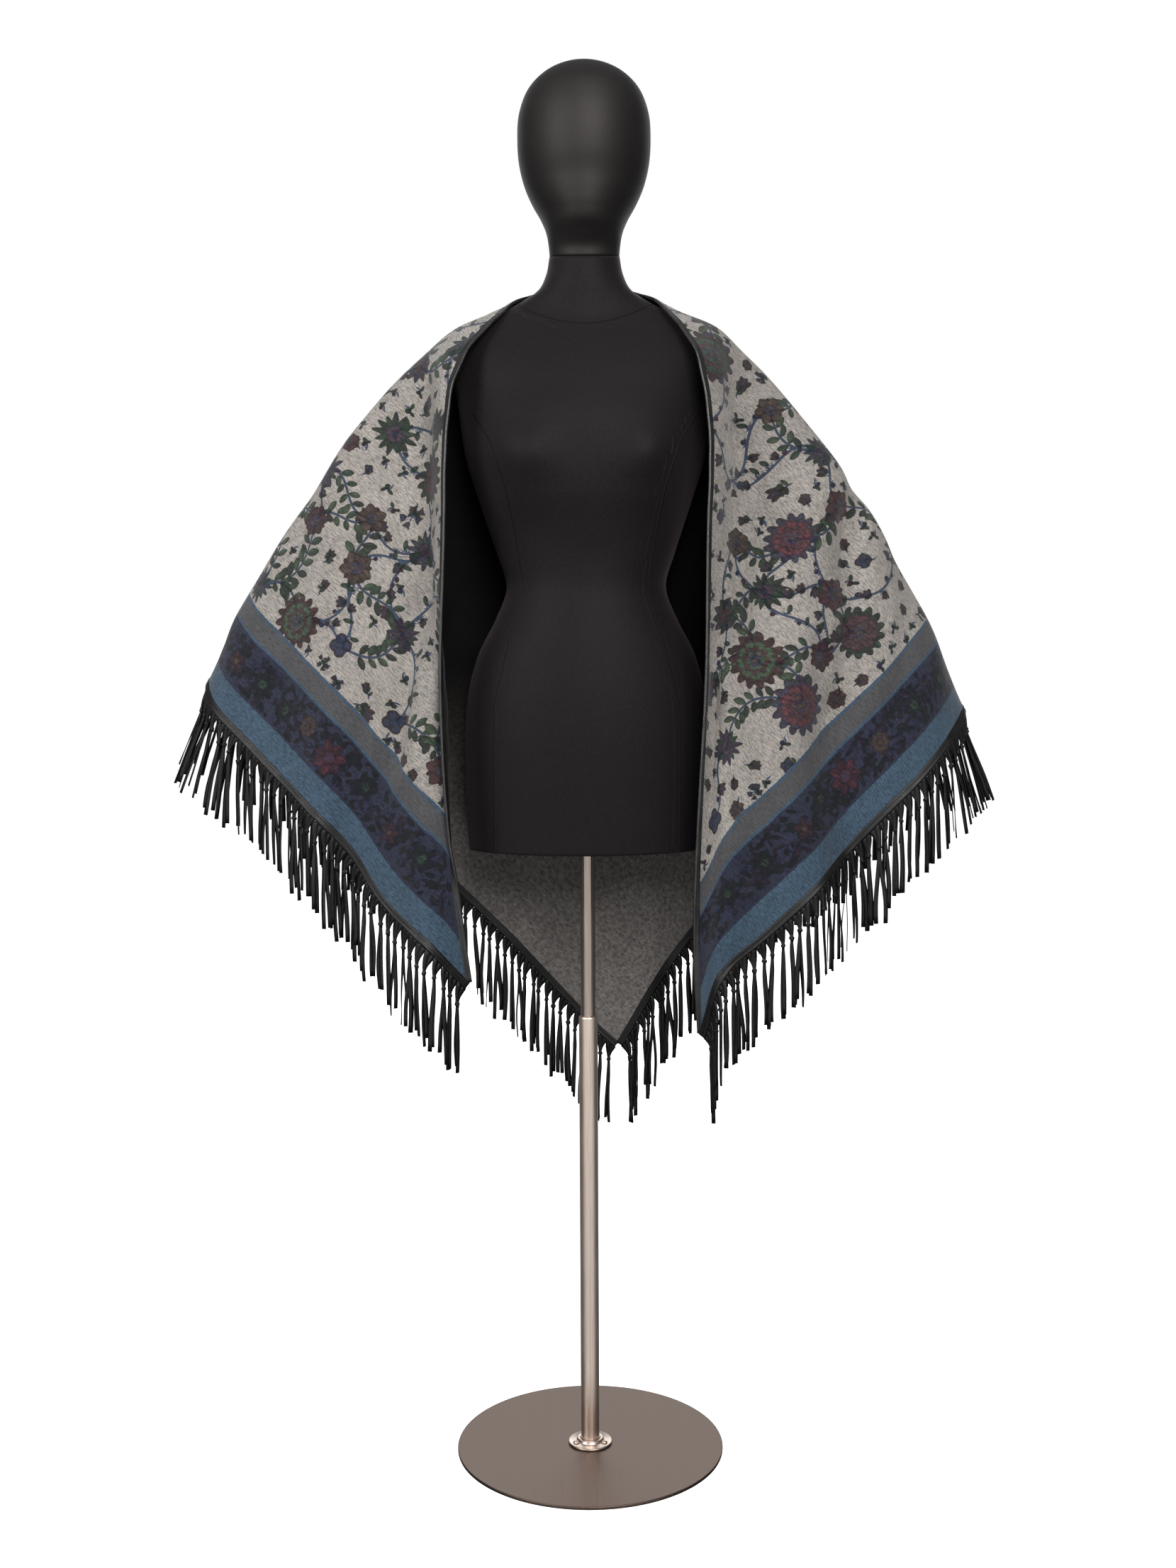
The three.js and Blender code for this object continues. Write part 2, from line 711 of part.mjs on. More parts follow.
const edgeShape = strip(trimmed(longBorder, 3, 3), rounded(SEAM_GAP, EDGE_WIDTH, EDGE_THICK));
group.add(solid('edge_binding', edgeShape.points, edgeShape.triangles, 0x2b2a2b, { roughness: 0.6 }));
const hemSection = rounded(SEAM_GAP, HEM_WIDTH, HEM_THICK);
const leftHem = strip(trimmed(leftBorder, 1, 1), hemSection);
group.add(solid('hem_binding_left', leftHem.points, leftHem.triangles, 0x2b2a2b, { roughness: 0.6 }));
const rightHem = strip(trimmed(rightBorder, 1, 1), hemSection);
group.add(solid('hem_binding_right', rightHem.points, rightHem.triangles, 0x2b2a2b, { roughness: 0.6 }));
group.add(fringe('fringe_left', leftBorder, 3));
group.add(fringe('fringe_right', rightBorder, 11));

const torso = sectionStack(FORM_SECTIONS, 0);
group.add(solid('torso', torso.points, torso.triangles, 0x1d1c1e, { roughness: 0.9 }));
const head = sectionStack(HEAD_SECTIONS, HEAD_TOP);
group.add(solid('head', head.points, head.triangles, 0x1d1c1e, { roughness: 0.9 }));

const flangeBottom = BASE_THICK + GAP;
const flangeTop = flangeBottom + FLANGE_THICK;
group.add(turned('base_plate', [
  [0, 0],
  [BASE_RADIUS, 0],
  [BASE_RADIUS, BASE_THICK],
  [0, BASE_THICK],
], 64, 0x9a8f88));
group.add(turned('base_flange', [
  [LOWER_TUBE_RADIUS + GAP, flangeBottom],
  [FLANGE_RADIUS, flangeBottom],
  [FLANGE_RADIUS, flangeTop - 1],
  [FLANGE_RADIUS - 1.5, flangeTop],
  [HUB_RADIUS, flangeTop],
  [HUB_RADIUS - 1.5, flangeBottom + HUB_HEIGHT],
  [LOWER_TUBE_RADIUS + GAP, flangeBottom + HUB_HEIGHT],
  [LOWER_TUBE_RADIUS + GAP, flangeBottom],
], 32, 0xb3a79d));
[90, 210, 330].forEach((deg, k) => {
  const screw = turned(`flange_screw_${k + 1}`, [
    [0, 0],
    [3.9, 0],
    [3.6, 1.4],
    [2.2, 2.6],
    [0, 3],
  ], 12, 0xc2b8ae);
  const a = deg * Math.PI / 180;
  const z = flangeTop + GAP;
  screw.geometry.translate(SCREW_CIRCLE * Math.cos(a), SCREW_CIRCLE * Math.sin(a), z);
  group.add(screw);
});
group.add(turned('lower_tube', [
  [0, flangeBottom],
  [LOWER_TUBE_RADIUS, flangeBottom],
  [LOWER_TUBE_RADIUS, TUBE_STEP_Z],
  [0, TUBE_STEP_Z],
], 32, 0xb3a79d));
group.add(turned('upper_tube', [
  [0, TUBE_STEP_Z + GAP],
  [UPPER_TUBE_RADIUS, TUBE_STEP_Z + GAP],
  [UPPER_TUBE_RADIUS, FORM_SECTIONS[0][0] - GAP],
  [0, FORM_SECTIONS[0][0] - GAP],
], 32, 0xb3a79d));

export default group;
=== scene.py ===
"""Finish of the triangular shawl on its dress form: cloth, print, leather trim, jersey and metal.

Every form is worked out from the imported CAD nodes, in metres. Flat places on the cloth are in
millimetres, as (a, b): a runs from the back point along the left short side, b along the right one.
"""
import math

import bpy
import numpy as np
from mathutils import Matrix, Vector


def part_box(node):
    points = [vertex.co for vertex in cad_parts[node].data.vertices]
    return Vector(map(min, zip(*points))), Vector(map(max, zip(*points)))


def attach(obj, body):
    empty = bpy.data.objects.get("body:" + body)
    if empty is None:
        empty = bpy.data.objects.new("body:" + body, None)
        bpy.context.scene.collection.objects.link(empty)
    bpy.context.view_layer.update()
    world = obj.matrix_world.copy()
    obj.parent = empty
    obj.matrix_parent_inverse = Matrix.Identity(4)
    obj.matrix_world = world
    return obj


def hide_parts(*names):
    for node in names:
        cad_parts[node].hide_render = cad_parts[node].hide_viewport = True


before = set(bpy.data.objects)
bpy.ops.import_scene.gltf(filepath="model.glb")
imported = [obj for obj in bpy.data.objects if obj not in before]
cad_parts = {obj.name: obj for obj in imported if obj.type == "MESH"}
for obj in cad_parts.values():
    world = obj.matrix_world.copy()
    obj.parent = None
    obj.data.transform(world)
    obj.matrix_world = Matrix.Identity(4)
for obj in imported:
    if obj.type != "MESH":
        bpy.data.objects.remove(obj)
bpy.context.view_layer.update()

MM = 0.001
ROOT = "root"

# Cloth, flat sizes in millimetres
LEG = 1480.0
CELLS = 40
SKIN_HALF = 0.9
OUTER_CELLS = 620
REVERSE_CELLS = 220
BAND_EDGES = (35.0, 98.0, 101.5, 125.5, 129.5)
FORM_GAP = 4.0

# Creases: half width, depth (negative for a trough), and flat places (a, b) along the fold.
CREASES = [
    (19, -17, ((1055, 345), (1090, 305), (1135, 232), (1165, 182), (1190, 145), (1222, 90))),
    (24, 9, ((1100, 372), (1140, 312), (1178, 250), (1225, 190))),
    (25, -6, ((930, 470), (985, 375), (1005, 310), (1050, 215))),
    (26, 5, ((880, 400), (925, 320), (960, 240), (1010, 130))),
    (27, -6, ((850, 330), (915, 230), (970, 160), (1045, 40))),
    (24, 5, ((800, 260), (850, 170), (905, 60))),
    (22, -4, ((740, 210), (775, 120), (800, 20))),
    (19, -15, ((505, 908), (445, 930), (380, 965), (325, 1020), (262, 1085))),
    (23, 9, ((420, 1020), (340, 1075), (275, 1140), (200, 1225))),
    (18, -19, ((330, 835), (300, 885), (262, 925), (215, 962), (155, 1018), (120, 1090))),
    (27, 10, ((385, 880), (300, 968), (235, 1025), (170, 1105))),
    (20, -5, ((240, 835), (165, 888), (105, 965), (60, 1035))),
    (24, 3, ((200, 770), (115, 855), (50, 930))),
    (22, -4, ((130, 740), (70, 800), (15, 850))),
    (18, -7, ((265, 1165), (185, 1208), (120, 1245))),
    (30, -9, ((690, 330), (670, 200), (700, 60), (705, 5))),
    (27, 6, ((610, 300), (590, 170), (575, 10))),
    (32, -10, ((540, 330), (470, 190), (440, 60), (430, 5))),
    (28, 6, ((430, 280), (350, 150), (310, 10))),
    (34, -8, ((380, 360), (270, 200), (190, 90), (150, 10))),
    (30, -9, ((330, 690), (200, 660), (60, 640), (5, 640))),
    (27, 6, ((300, 610), (170, 560), (10, 520))),
    (33, -11, ((330, 520), (200, 450), (60, 400), (5, 395))),
    (27, 6, ((270, 420), (150, 330), (10, 280))),
    (36, -7, ((610, 560), (470, 420), (330, 250), (230, 90))),
    (34, 6, ((560, 640), (430, 520), (300, 400))),
    (30, -6, ((500, 700), (390, 590), (290, 480))),
]

# Colours, as they look in neutral light
FIELD = (0.62, 0.595, 0.57)
FIELD_DARK = (0.41, 0.395, 0.38)
BLUE_BAND = (0.215, 0.283, 0.343)
LINE_BLUE = (0.205, 0.272, 0.335)
TAUPE = (0.268, 0.268, 0.275)
NAVY_BAND = (0.142, 0.152, 0.210)
REVERSE = (0.40, 0.385, 0.375)
VINE = (0.135, 0.19, 0.27)
GREEN = (0.16, 0.235, 0.185)
DEEP_GREEN = (0.115, 0.165, 0.14)
BURGUNDY = (0.25, 0.145, 0.165)
MAROON = (0.20, 0.105, 0.13)
PURPLE = (0.21, 0.18, 0.255)
NAVY = (0.13, 0.155, 0.24)
BROWN = (0.25, 0.20, 0.175)
SLATE = (0.20, 0.22, 0.27)
ROSE = (0.33, 0.165, 0.195)
OCHRE = (0.32, 0.255, 0.19)
MOSS = (0.22, 0.285, 0.21)
BAND_SCATTER = [(0.10, 0.135, 0.115), (0.075, 0.075, 0.09), (0.17, 0.12, 0.165), (0.19, 0.20, 0.30),
                (0.09, 0.10, 0.125)]
BAND_REDS = [(0.27, 0.14, 0.165), (0.215, 0.12, 0.145)]
BAND_WINE = (0.25, 0.13, 0.155)
BAND_BLACK = (0.075, 0.095, 0.09)
BAND_MOSS = (0.24, 0.31, 0.25)
BAND_GREEN = (0.17, 0.24, 0.18)
BAND_CORE = (0.09, 0.10, 0.10)
BAND_ROSE = (0.22, 0.14, 0.16)
BAND_TAN = (0.28, 0.20, 0.17)
BAND_BROWN = (0.24, 0.19, 0.18)
BAND_SAND = (0.27, 0.22, 0.18)


def linear(colour):
    """Linear colour of a display colour."""
    c = np.asarray(colour, float)
    return np.where(c <= 0.04045, c / 12.92, ((c + 0.055) / 1.055) ** 2.4)


def rgba(colour, gain=1.0):
    return tuple(float(v) * gain for v in linear(colour)) + (1.0,)


def smooth(t):
    t = np.clip(t, 0, 1)
    return t * t * (3 - 2 * t)


def unit(v):
    return v / np.maximum(np.linalg.norm(v, axis=-1, keepdims=True), 1e-12)


def run_lengths(points):
    """Distance along a line of points to each of them."""
    steps = np.linalg.norm(np.diff(points, axis=0), axis=1)
    return np.concatenate([[0], np.cumsum(steps)])


# Reading the CAD nodes
def welded(node):
    """Corners of a CAD node in millimetres, and its triangles, with doubled corners joined."""
    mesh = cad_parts[node].data
    points = np.empty(len(mesh.vertices) * 3)
    mesh.vertices.foreach_get("co", points)
    points = points.reshape(-1, 3) / MM
    faces = np.empty(len(mesh.polygons) * 3, int)
    mesh.polygons.foreach_get("vertices", faces)
    _, first, joined = np.unique(np.round(points * 100), axis=0, return_index=True, return_inverse=True)
    return points[first], joined.reshape(-1)[faces].reshape(-1, 3)


def cloth_lattice():
    """Middle of the cloth wall at each lattice corner."""
    points, faces = welded("shawl_cloth")
    across = {}
    for f, (a, b, c) in enumerate(faces):
        for edge, apex in (((a, b), c), ((b, c), a), ((c, a), b)):
            across.setdefault(frozenset(edge), []).append((f, apex))
    corner = np.argmin(points[:, 2])
    twin = np.argsort(np.linalg.norm(points - points[corner], axis=1))[1]
    sides = []
    for start in (corner, twin):
        for face in faces[(faces == start).any(axis=1)]:
            others = [n for n in face if n != start]
            edges = [np.linalg.norm(points[p] - points[q]) for p in face for q in face if p < q]
            if min(edges) < LEG / CELLS / 4:
                continue
            left, right = sorted(others, key=lambda n: points[n, 0])
            sides.append(walk(points, across, {start: (0, 0), left: (1, 0), right: (0, 1)}))
    outer, inner = sides
    if (outer - inner)[CELLS // 4, CELLS // 4, 1] < 0:
        outer, inner = inner, outer
    return (outer + inner) / 2


def walk(points, across, known):
    """Lattice of one face of the wall: across an edge, a corner is the sum of the edge's less the other."""
    grid = np.zeros((CELLS + 1, CELLS + 1, 3))
    for n, place in known.items():
        grid[place] = points[n]
    todo, seen = [tuple(known)], set()
    while todo:
        face = todo.pop()
        for k in range(3):
            apex, edge = face[k], [face[(k + 1) % 3], face[(k + 2) % 3]]
            for f, other in across[frozenset(edge)]:
                place = tuple(known[edge[0]][i] + known[edge[1]][i] - known[apex][i] for i in (0, 1))
                if f in seen or other == apex or min(place) < 0 or sum(place) > CELLS:
                    continue
                seen.add(f)
                known[other] = place
                grid[place] = points[other]
                todo.append((other, *edge))
    return grid


def spline_matrix(count, where):
    """Weights of a natural cubic spline through count + 1 even knots, at the places where."""
    system = np.zeros((count + 3, count + 3))
    for k in range(count + 1):
        system[k + 1, k:k + 3] = (1 / 6, 4 / 6, 1 / 6)
    system[0, :3] = (1, -2, 1)
    system[-1, -3:] = (1, -2, 1)
    solve = np.linalg.inv(system)[:, 1:-1]
    k = np.clip(where.astype(int), 0, count - 1)
    t = where - k
    basis = np.zeros((len(where), count + 3))
    rows = np.arange(len(where))
    for n, weight in enumerate(((1 - t) ** 3, 3 * t ** 3 - 6 * t ** 2 + 4,
                                -3 * t ** 3 + 3 * t ** 2 + 3 * t + 1, t ** 3)):
        basis[rows, k + n] = weight / 6
    return basis @ solve


def past_long_side(grid):
    """The lattice with its empty half filled by turning the cloth over the long side."""
    full = grid.copy()
    for i in range(CELLS + 1):
        for j in range(CELLS + 1 - i, CELLS + 1):
            low = (i - j + CELLS) // 2
            high = (i - j + CELLS + 1) // 2
            middle = (grid[low, CELLS - low] + grid[high, CELLS - high]) / 2
            full[i, j] = 2 * middle - grid[CELLS - j, CELLS - i]
    return full


def ring_table(node):
    """Rings of a CAD node built from level sections, lowest first, each turning the same way."""
    points, _ = welded(node)
    levels = np.unique(np.round(points[:, 2], 1))
    rings = []
    for z in levels:
        ring = points[np.abs(points[:, 2] - z) < 0.06]
        if len(ring) > 8:
            rings.append(ring[np.argsort(np.arctan2(ring[:, 1], ring[:, 0]))])
    return np.array(rings), points[np.argmax(points[:, 2])]


def along(x, y, s):
    """Smooth curve through the values y at the places x, read at s."""
    rise = (y[1:] - y[:-1]) / (x[1:] - x[:-1])[:, None]
    slope = np.empty_like(y)
    slope[0], slope[-1] = rise[0], rise[-1]
    w = ((x[2:] - x[1:-1]) / (x[2:] - x[:-2]))[:, None]
    slope[1:-1] = rise[:-1] * w + rise[1:] * (1 - w)
    k = np.clip(np.searchsorted(x, s, side="right") - 1, 0, len(x) - 2)
    h = (x[k + 1] - x[k])[:, None]
    u = np.clip((s[:, None] - x[k][:, None]) / h, 0, 1)
    return (y[k] * (1 + 2 * u) * (1 - u) ** 2 + y[k + 1] * u * u * (3 - 2 * u)
            + slope[k] * h * u * (1 - u) ** 2 + slope[k + 1] * h * u * u * (u - 1))


def smooth_body(rings, apex, turns, rows):
    """Fine rings through a node's sections, with a round top where it has an apex."""
    count = rings.shape[1]
    knots = np.concatenate([rings] * 3, axis=1)
    where = np.arange(turns) * count / turns + count
    weights = spline_matrix(3 * count - 1, where)
    rings = np.einsum("tk,rkc->rtc", weights, knots)
    if apex is not None:
        tip = np.broadcast_to(apex, rings[:1].shape)
        rings = np.concatenate([rings, tip, np.roll(rings[-1:], turns // 2, axis=1)])
    flat = rings.reshape(len(rings), -1)
    steps = np.linalg.norm(rings[1:] - rings[:-1], axis=2).mean(axis=1)
    place = np.concatenate([[0], np.cumsum(steps)])
    end = place[-2] if apex is not None else place[-1]
    return along(place, flat, np.linspace(0, end, rows)).reshape(rows, turns, 3)


# Mesh helpers
def placed(name, data):
    """A new object of the scene that shows a mesh, camera or light."""
    made = bpy.data.objects.new(name, data)
    bpy.context.scene.collection.objects.link(made)
    return made


def mesh_piece(name, points, faces, replaces=()):
    """A smooth-shaded piece that rides on the root body. Points are in millimetres."""
    mesh = bpy.data.meshes.new(name)
    mesh.from_pydata((np.asarray(points) * MM).tolist(), [], faces)
    mesh.shade_smooth()
    piece = placed(name, mesh)
    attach(piece, ROOT)
    if replaces:
        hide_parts(*replaces)
    return piece


def attribute(piece, name, values, kind="FLOAT"):
    key = {"FLOAT": "value", "FLOAT_VECTOR": "vector", "FLOAT_COLOR": "color"}[kind]
    layer = piece.data.attributes.new(name, kind, "POINT")
    layer.data.foreach_set(key, np.ascontiguousarray(values, np.float32).ravel())


def tube_faces(rows, turns, closed_ends=True):
    """Faces of a tube of rows rings with turns corners each."""
    r, k = np.meshgrid(np.arange(rows - 1), np.arange(turns), indexing="ij")
    a = r * turns + k
    b = r * turns + (k + 1) % turns
    faces = np.stack([a, b, b + turns, a + turns], -1).reshape(-1, 4).tolist()
    if closed_ends:
        faces.append(list(range(turns))[::-1])
        faces.append(list(range((rows - 1) * turns, rows * turns)))
    return faces


class Pile:
    """Many small shapes joined in one mesh."""

    def __init__(self):
        self.points = []
        self.faces = []
        self.size = 0

    def add(self, points, faces):
        points = np.asarray(points).reshape(-1, 3)
        self.points.append(points)
        self.faces.extend([[n + self.size for n in face] for face in faces])
        self.size += len(points)

    def piece(self, name, slot, replaces=()):
        return mesh_piece(name, np.concatenate(self.points), self.faces, replaces)


# The form, which the cloth has to stay clear of
TORSO_RINGS, _ = ring_table("torso")
HEAD_RINGS, HEAD_APEX = ring_table("head")
TORSO = smooth_body(TORSO_RINGS, None, turns=144, rows=240)
HEAD = smooth_body(HEAD_RINGS, HEAD_APEX, turns=128, rows=110)
FORM_LEVELS = np.linspace(TORSO_RINGS[0, 0, 2], TORSO_RINGS[-1, 0, 2], 320)
LEVEL_STEP = FORM_LEVELS[1] - FORM_LEVELS[0]
SLANT_LEVELS = 4
FORM_ANGLES = 180


def form_radii():
    """Distance from the axis to the form's surface, by level and angle."""
    table = np.empty((len(FORM_LEVELS), FORM_ANGLES + 1))
    turn = np.linspace(-np.pi, np.pi, FORM_ANGLES + 1)
    rows = np.empty((len(TORSO), FORM_ANGLES + 1))
    for r, ring in enumerate(TORSO):
        angle = np.arctan2(ring[:, 1], ring[:, 0])
        order = np.argsort(angle)
        rows[r] = np.interp(turn, angle[order], np.hypot(ring[order, 0], ring[order, 1]),
                            period=2 * np.pi)
    for k in range(FORM_ANGLES + 1):
        table[:, k] = np.interp(FORM_LEVELS, TORSO[:, 0, 2], rows[:, k])
    return table


FORM_RADII = form_radii()


def off_form(points, gap):
    """Points moved straight out of the form where they come nearer to it than gap."""
    x, y, z = points[..., 0], points[..., 1], points[..., 2]
    row = np.clip((z - FORM_LEVELS[0]) / LEVEL_STEP, 0, len(FORM_LEVELS) - 1.001)
    col = np.clip((np.arctan2(y, x) + np.pi) / (2 * np.pi) * FORM_ANGLES, 0, FORM_ANGLES - 1e-6)
    r, c = row.astype(int), col.astype(int)
    u, v = row - r, col - c
    limit = ((FORM_RADII[r, c] * (1 - u) + FORM_RADII[r + 1, c] * u) * (1 - v)
             + (FORM_RADII[r, c + 1] * (1 - u) + FORM_RADII[r + 1, c + 1] * u) * v) + gap
    higher = FORM_RADII[np.minimum(r + SLANT_LEVELS, len(FORM_LEVELS) - 1), c]
    slant = np.clip((higher - FORM_RADII[r, c]) / (SLANT_LEVELS * LEVEL_STEP), -3, 3)
    limit = limit + gap * (np.sqrt(1 + slant ** 2) - 1)
    near = np.hypot(x, y)
    hit = (near < limit) & (z > FORM_LEVELS[0] - 5) & (z < FORM_LEVELS[-1])
    push = np.where(hit, limit - near, 0) / np.maximum(near, 1)
    return points + np.stack([x * push, y * push, 0 * z], -1)


# The cloth's surface
LATTICE = past_long_side(cloth_lattice())


def wave_field(a, b):
    """Slow unevenness of the hanging cloth, in millimetres."""
    return (1.1 * np.sin(a / 61 + 0.7 * np.sin(b / 97)) * np.sin(b / 73 + 1.3)
            + 0.8 * np.sin((a - b) / 47 + 0.9 * np.sin((a + b) / 131))
            + 0.45 * np.sin((a + 1.7 * b) / 33 + 2.1) * np.sin((a - 0.6 * b) / 41))


def crease_field(a, b):
    """Height of all the creases over the flat cloth, in millimetres."""
    total = np.zeros(np.broadcast(a, b).shape)
    for width, depth, path in CREASES:
        path = np.array(path, float)
        place = run_lengths(path)
        near, reached = np.full(total.shape, 1e9), np.zeros(total.shape)
        for start, run, s0 in zip(path, np.diff(path, axis=0), place):
            length = math.hypot(*run)
            s = np.clip(((a - start[0]) * run[0] + (b - start[1]) * run[1]) / length ** 2, 0, 1)
            gap = np.hypot(a - start[0] - s * run[0], b - start[1] - s * run[1])
            reached = np.where(gap < near, s0 + s * length, reached)
            near = np.minimum(gap, near)
        rise = smooth(reached / (0.35 * place[-1]) + 0.3)
        fall = smooth((place[-1] - reached) / (0.3 * place[-1]) + 0.4)
        total += depth * rise * fall * np.exp(-(near / width) ** 2)
    return total


def normals_of(grid):
    """Unit normals of a grid of points, looking out of the cloth."""
    return unit(np.cross(np.gradient(grid, axis=0), np.gradient(grid, axis=1)))


def cloth_surface(cells):
    """Middle surface of the cloth on a grid of cells along each short side."""
    weights = spline_matrix(CELLS, np.arange(cells + 1) * CELLS / cells)
    grid = np.einsum("ai,ijc,bj->abc", weights, LATTICE, weights, optimize=True)
    flat = np.arange(cells + 1) * LEG / cells
    a, b = np.meshgrid(flat, flat, indexing="ij")
    lift = crease_field(a, b) + wave_field(a, b)
    inland = smooth(np.minimum(np.minimum(a, b), (LEG - a - b) / math.sqrt(2)) / 60 + 0.15)
    grid = grid + normals_of(grid) * (lift * inland)[..., None]
    return off_form(grid, FORM_GAP)


def half_faces(cells, keep):
    """Faces of the half square where keep says so, numbered over the corners that they use."""
    n = cells + 1
    i, j = np.meshgrid(np.arange(cells), np.arange(cells), indexing="ij")
    a = i * n + j
    quads = np.stack([a, a + n, a + n + 1, a + 1], -1)[(i + j + 2 <= cells) & keep(i, j)]
    triangles = np.stack([a, a + n, a + 1], -1)[(i + j + 1 == cells) & keep(i, j)]
    used, ids = np.unique(np.concatenate([quads.ravel(), triangles.ravel()]), return_inverse=True)
    faces = ids[:quads.size].reshape(-1, 4).tolist() + ids[quads.size:].reshape(-1, 3).tolist()
    return faces, used


def skin(name, grid, normals, side, keep=lambda i, j: i >= 0):
    """One face of the cloth wall, side 1 outside or -1 inside, and the grid corners that it uses."""
    cells = len(grid) - 1
    faces, used = half_faces(cells, keep)
    if side < 0:
        faces = [face[::-1] for face in faces]
    points = (grid + normals * SKIN_HALF * side).reshape(-1, 3)
    piece = mesh_piece(name, points[used], faces, ["shawl_cloth"])
    a, b = (index * LEG / cells for index in divmod(used, cells + 1))
    attribute(piece, "flat", np.stack([a, b, 0 * a], -1) * MM, "FLOAT_VECTOR")
    return piece, used


def cloth_skins():
    """Two fine outer halves that meet down the middle of the back, and a plainer reverse."""
    grid = cloth_surface(OUTER_CELLS)
    normals = normals_of(grid)
    halves = [skin("shawl_left", grid, normals, 1, lambda i, j: i >= j),
              skin("shawl_right", grid, normals, 1, lambda i, j: i < j)]
    for piece, used in halves:
        piece.data.normals_split_custom_set_from_vertices(normals.reshape(-1, 3)[used].tolist())
    grid = cloth_surface(REVERSE_CELLS)
    reverse, _ = skin("shawl_reverse", grid, normals_of(grid), -1)
    return halves, reverse


# The print: its shapes are kept as distances at every corner of the fine cloth.
STEP = LEG / OUTER_CELLS
SIDE = OUTER_CELLS + 1
FAR = 6.0
VEINS = 0.14
STEM_WINDOW, STEM_FAR = 5.5, 4.4
PLACE = np.arange(SIDE) * STEP
A_FLAT, B_FLAT = np.meshgrid(PLACE, PLACE, indexing="ij")
FROM_HEM = np.minimum(A_FLAT, B_FLAT)
INK = np.full((SIDE, SIDE), -FAR)
TINT = np.zeros((SIDE, SIDE, 3))
STEM = np.zeros((SIDE, SIDE))
STEM_HALF = np.full((SIDE, SIDE), -FAR)
IN_FIELD = FROM_HEM > BAND_EDGES[4] - 3
IN_BAND = (FROM_HEM < BAND_EDGES[1] - 2) & (FROM_HEM > BAND_EDGES[0] + 2)


def window(x, y, reach):
    """Slices of the fine cloth round a flat place, and the offsets from it."""
    lo = [max(0, int((v - reach) / STEP)) for v in (x, y)]
    hi = [min(SIDE, int((v + reach) / STEP) + 2) for v in (x, y)]
    part = (slice(lo[0], hi[0]), slice(lo[1], hi[1]))
    return part, A_FLAT[part] - x, B_FLAT[part] - y


def lay(part, depth, colour, zone=IN_FIELD):
    """Lay one shape over the print. depth is the distance inside its outline."""
    here = zone[part]
    old = INK[part]
    inside = here & (depth > 0)
    under = here & ~inside & (old > 0)
    new = inside | (here & ~under & (depth > old))
    INK[part] = np.where(new, depth, np.where(under, np.minimum(old, -depth), old))
    tint = np.broadcast_to(np.asarray(colour, float), depth.shape + (3,))
    TINT[part] = np.where(new[..., None], tint, TINT[part])


def turned_to(dx, dy, angle):
    c, s = math.cos(angle), math.sin(angle)
    return dx * c + dy * s, -dx * s + dy * c


def away(x, y, angle, distance):
    """The flat place at a distance from x, y in one direction."""
    return x + math.cos(angle) * distance, y + math.sin(angle) * distance


def pick(rng, options):
    return options[int(rng.integers(0, len(options)))]


def leaf(x, y, angle, length, width, colour, zone=IN_FIELD):
    """An almond leaf that grows from its stalk end at x, y, darker along its middle."""
    part, dx, dy = window(*away(x, y, angle, length / 2), length / 2 + 4)
    s, t = turned_to(dx, dy, angle)
    radius = (length ** 2 / 4 + width ** 2 / 4) / width
    depth = radius - np.hypot(s, np.abs(t) + radius - width / 2)
    shade = 1 - 0.3 * np.exp(-(t / 1.1) ** 2) + 0.12 * np.sign(t)
    lay(part, depth, np.asarray(colour) * shade[..., None], zone)


def corolla(x, y, count, phase, length, width, tones, root=0.0, lean=0.0, zone=IN_FIELD):
    """Leaves evenly round a centre, their stalk ends at distance root, with tones taken in turn."""
    for k in range(count):
        angle = phase + k * math.tau / count
        leaf(*away(x, y, angle, root), angle + lean, length, width, tones[k % len(tones)], zone)


def rosette(x, y, r, petals, notch, point, inner, outer, phase=0.0, zone=IN_FIELD):
    """Petals round a centre. notch is their joint's share of the radius; point sharpens them."""
    part, dx, dy = window(x, y, r + 4)
    rho = np.hypot(dx, dy)
    theta = np.arctan2(dy, dx) - phase
    lobe = np.abs(np.cos(petals * theta / 2)) ** point
    edge = r * (notch + (1 - notch) * lobe)
    depth = (edge - rho) * 0.85
    mix = np.clip(rho / r, 0, 1)
    colour = np.asarray(inner) * (1 - mix[..., None]) + np.asarray(outer) * mix[..., None]
    shade = 1 - VEINS * np.cos(petals * 2 * theta) * np.clip(mix * 1.6, 0, 1)
    lay(part, depth, colour * shade[..., None], zone)


def disc(x, y, r, colour, zone=IN_FIELD):
    part, dx, dy = window(x, y, r + 4)
    lay(part, r - np.hypot(dx, dy), colour, zone)


def stalk(points, width, tip_width):
    """A thin vine along points, kept as a signed distance to its middle."""
    points = np.asarray(points, float)
    place = run_lengths(points)
    count = max(2, int(place[-1] / 2.0))
    s = np.linspace(0, place[-1], count + 1)
    line = np.stack([np.interp(s, place, points[:, c]) for c in (0, 1)], -1)
    for k in range(count):
        (x0, y0), (x1, y1) = line[k], line[k + 1]
        half = 0.5 * (width + (tip_width - width) * (k + 0.5) / count)
        length = math.hypot(x1 - x0, y1 - y0) + 1e-9
        part, dx, dy = window((x0 + x1) / 2, (y0 + y1) / 2, STEM_WINDOW)
        run, off = turned_to(dx, dy, math.atan2(y1 - y0, x1 - x0))
        past = np.maximum(np.abs(run) - length / 2, 0)
        near = np.where(off < 0, -1, 1) * np.hypot(off, past)
        old = np.where(STEM_HALF[part] > 0, np.abs(STEM[part]), 99)
        take = (np.abs(near) < np.minimum(old, STEM_FAR)) & IN_FIELD[part]
        STEM[part] = np.where(take, near, STEM[part])
        STEM_HALF[part] = np.where(take, half, STEM_HALF[part])


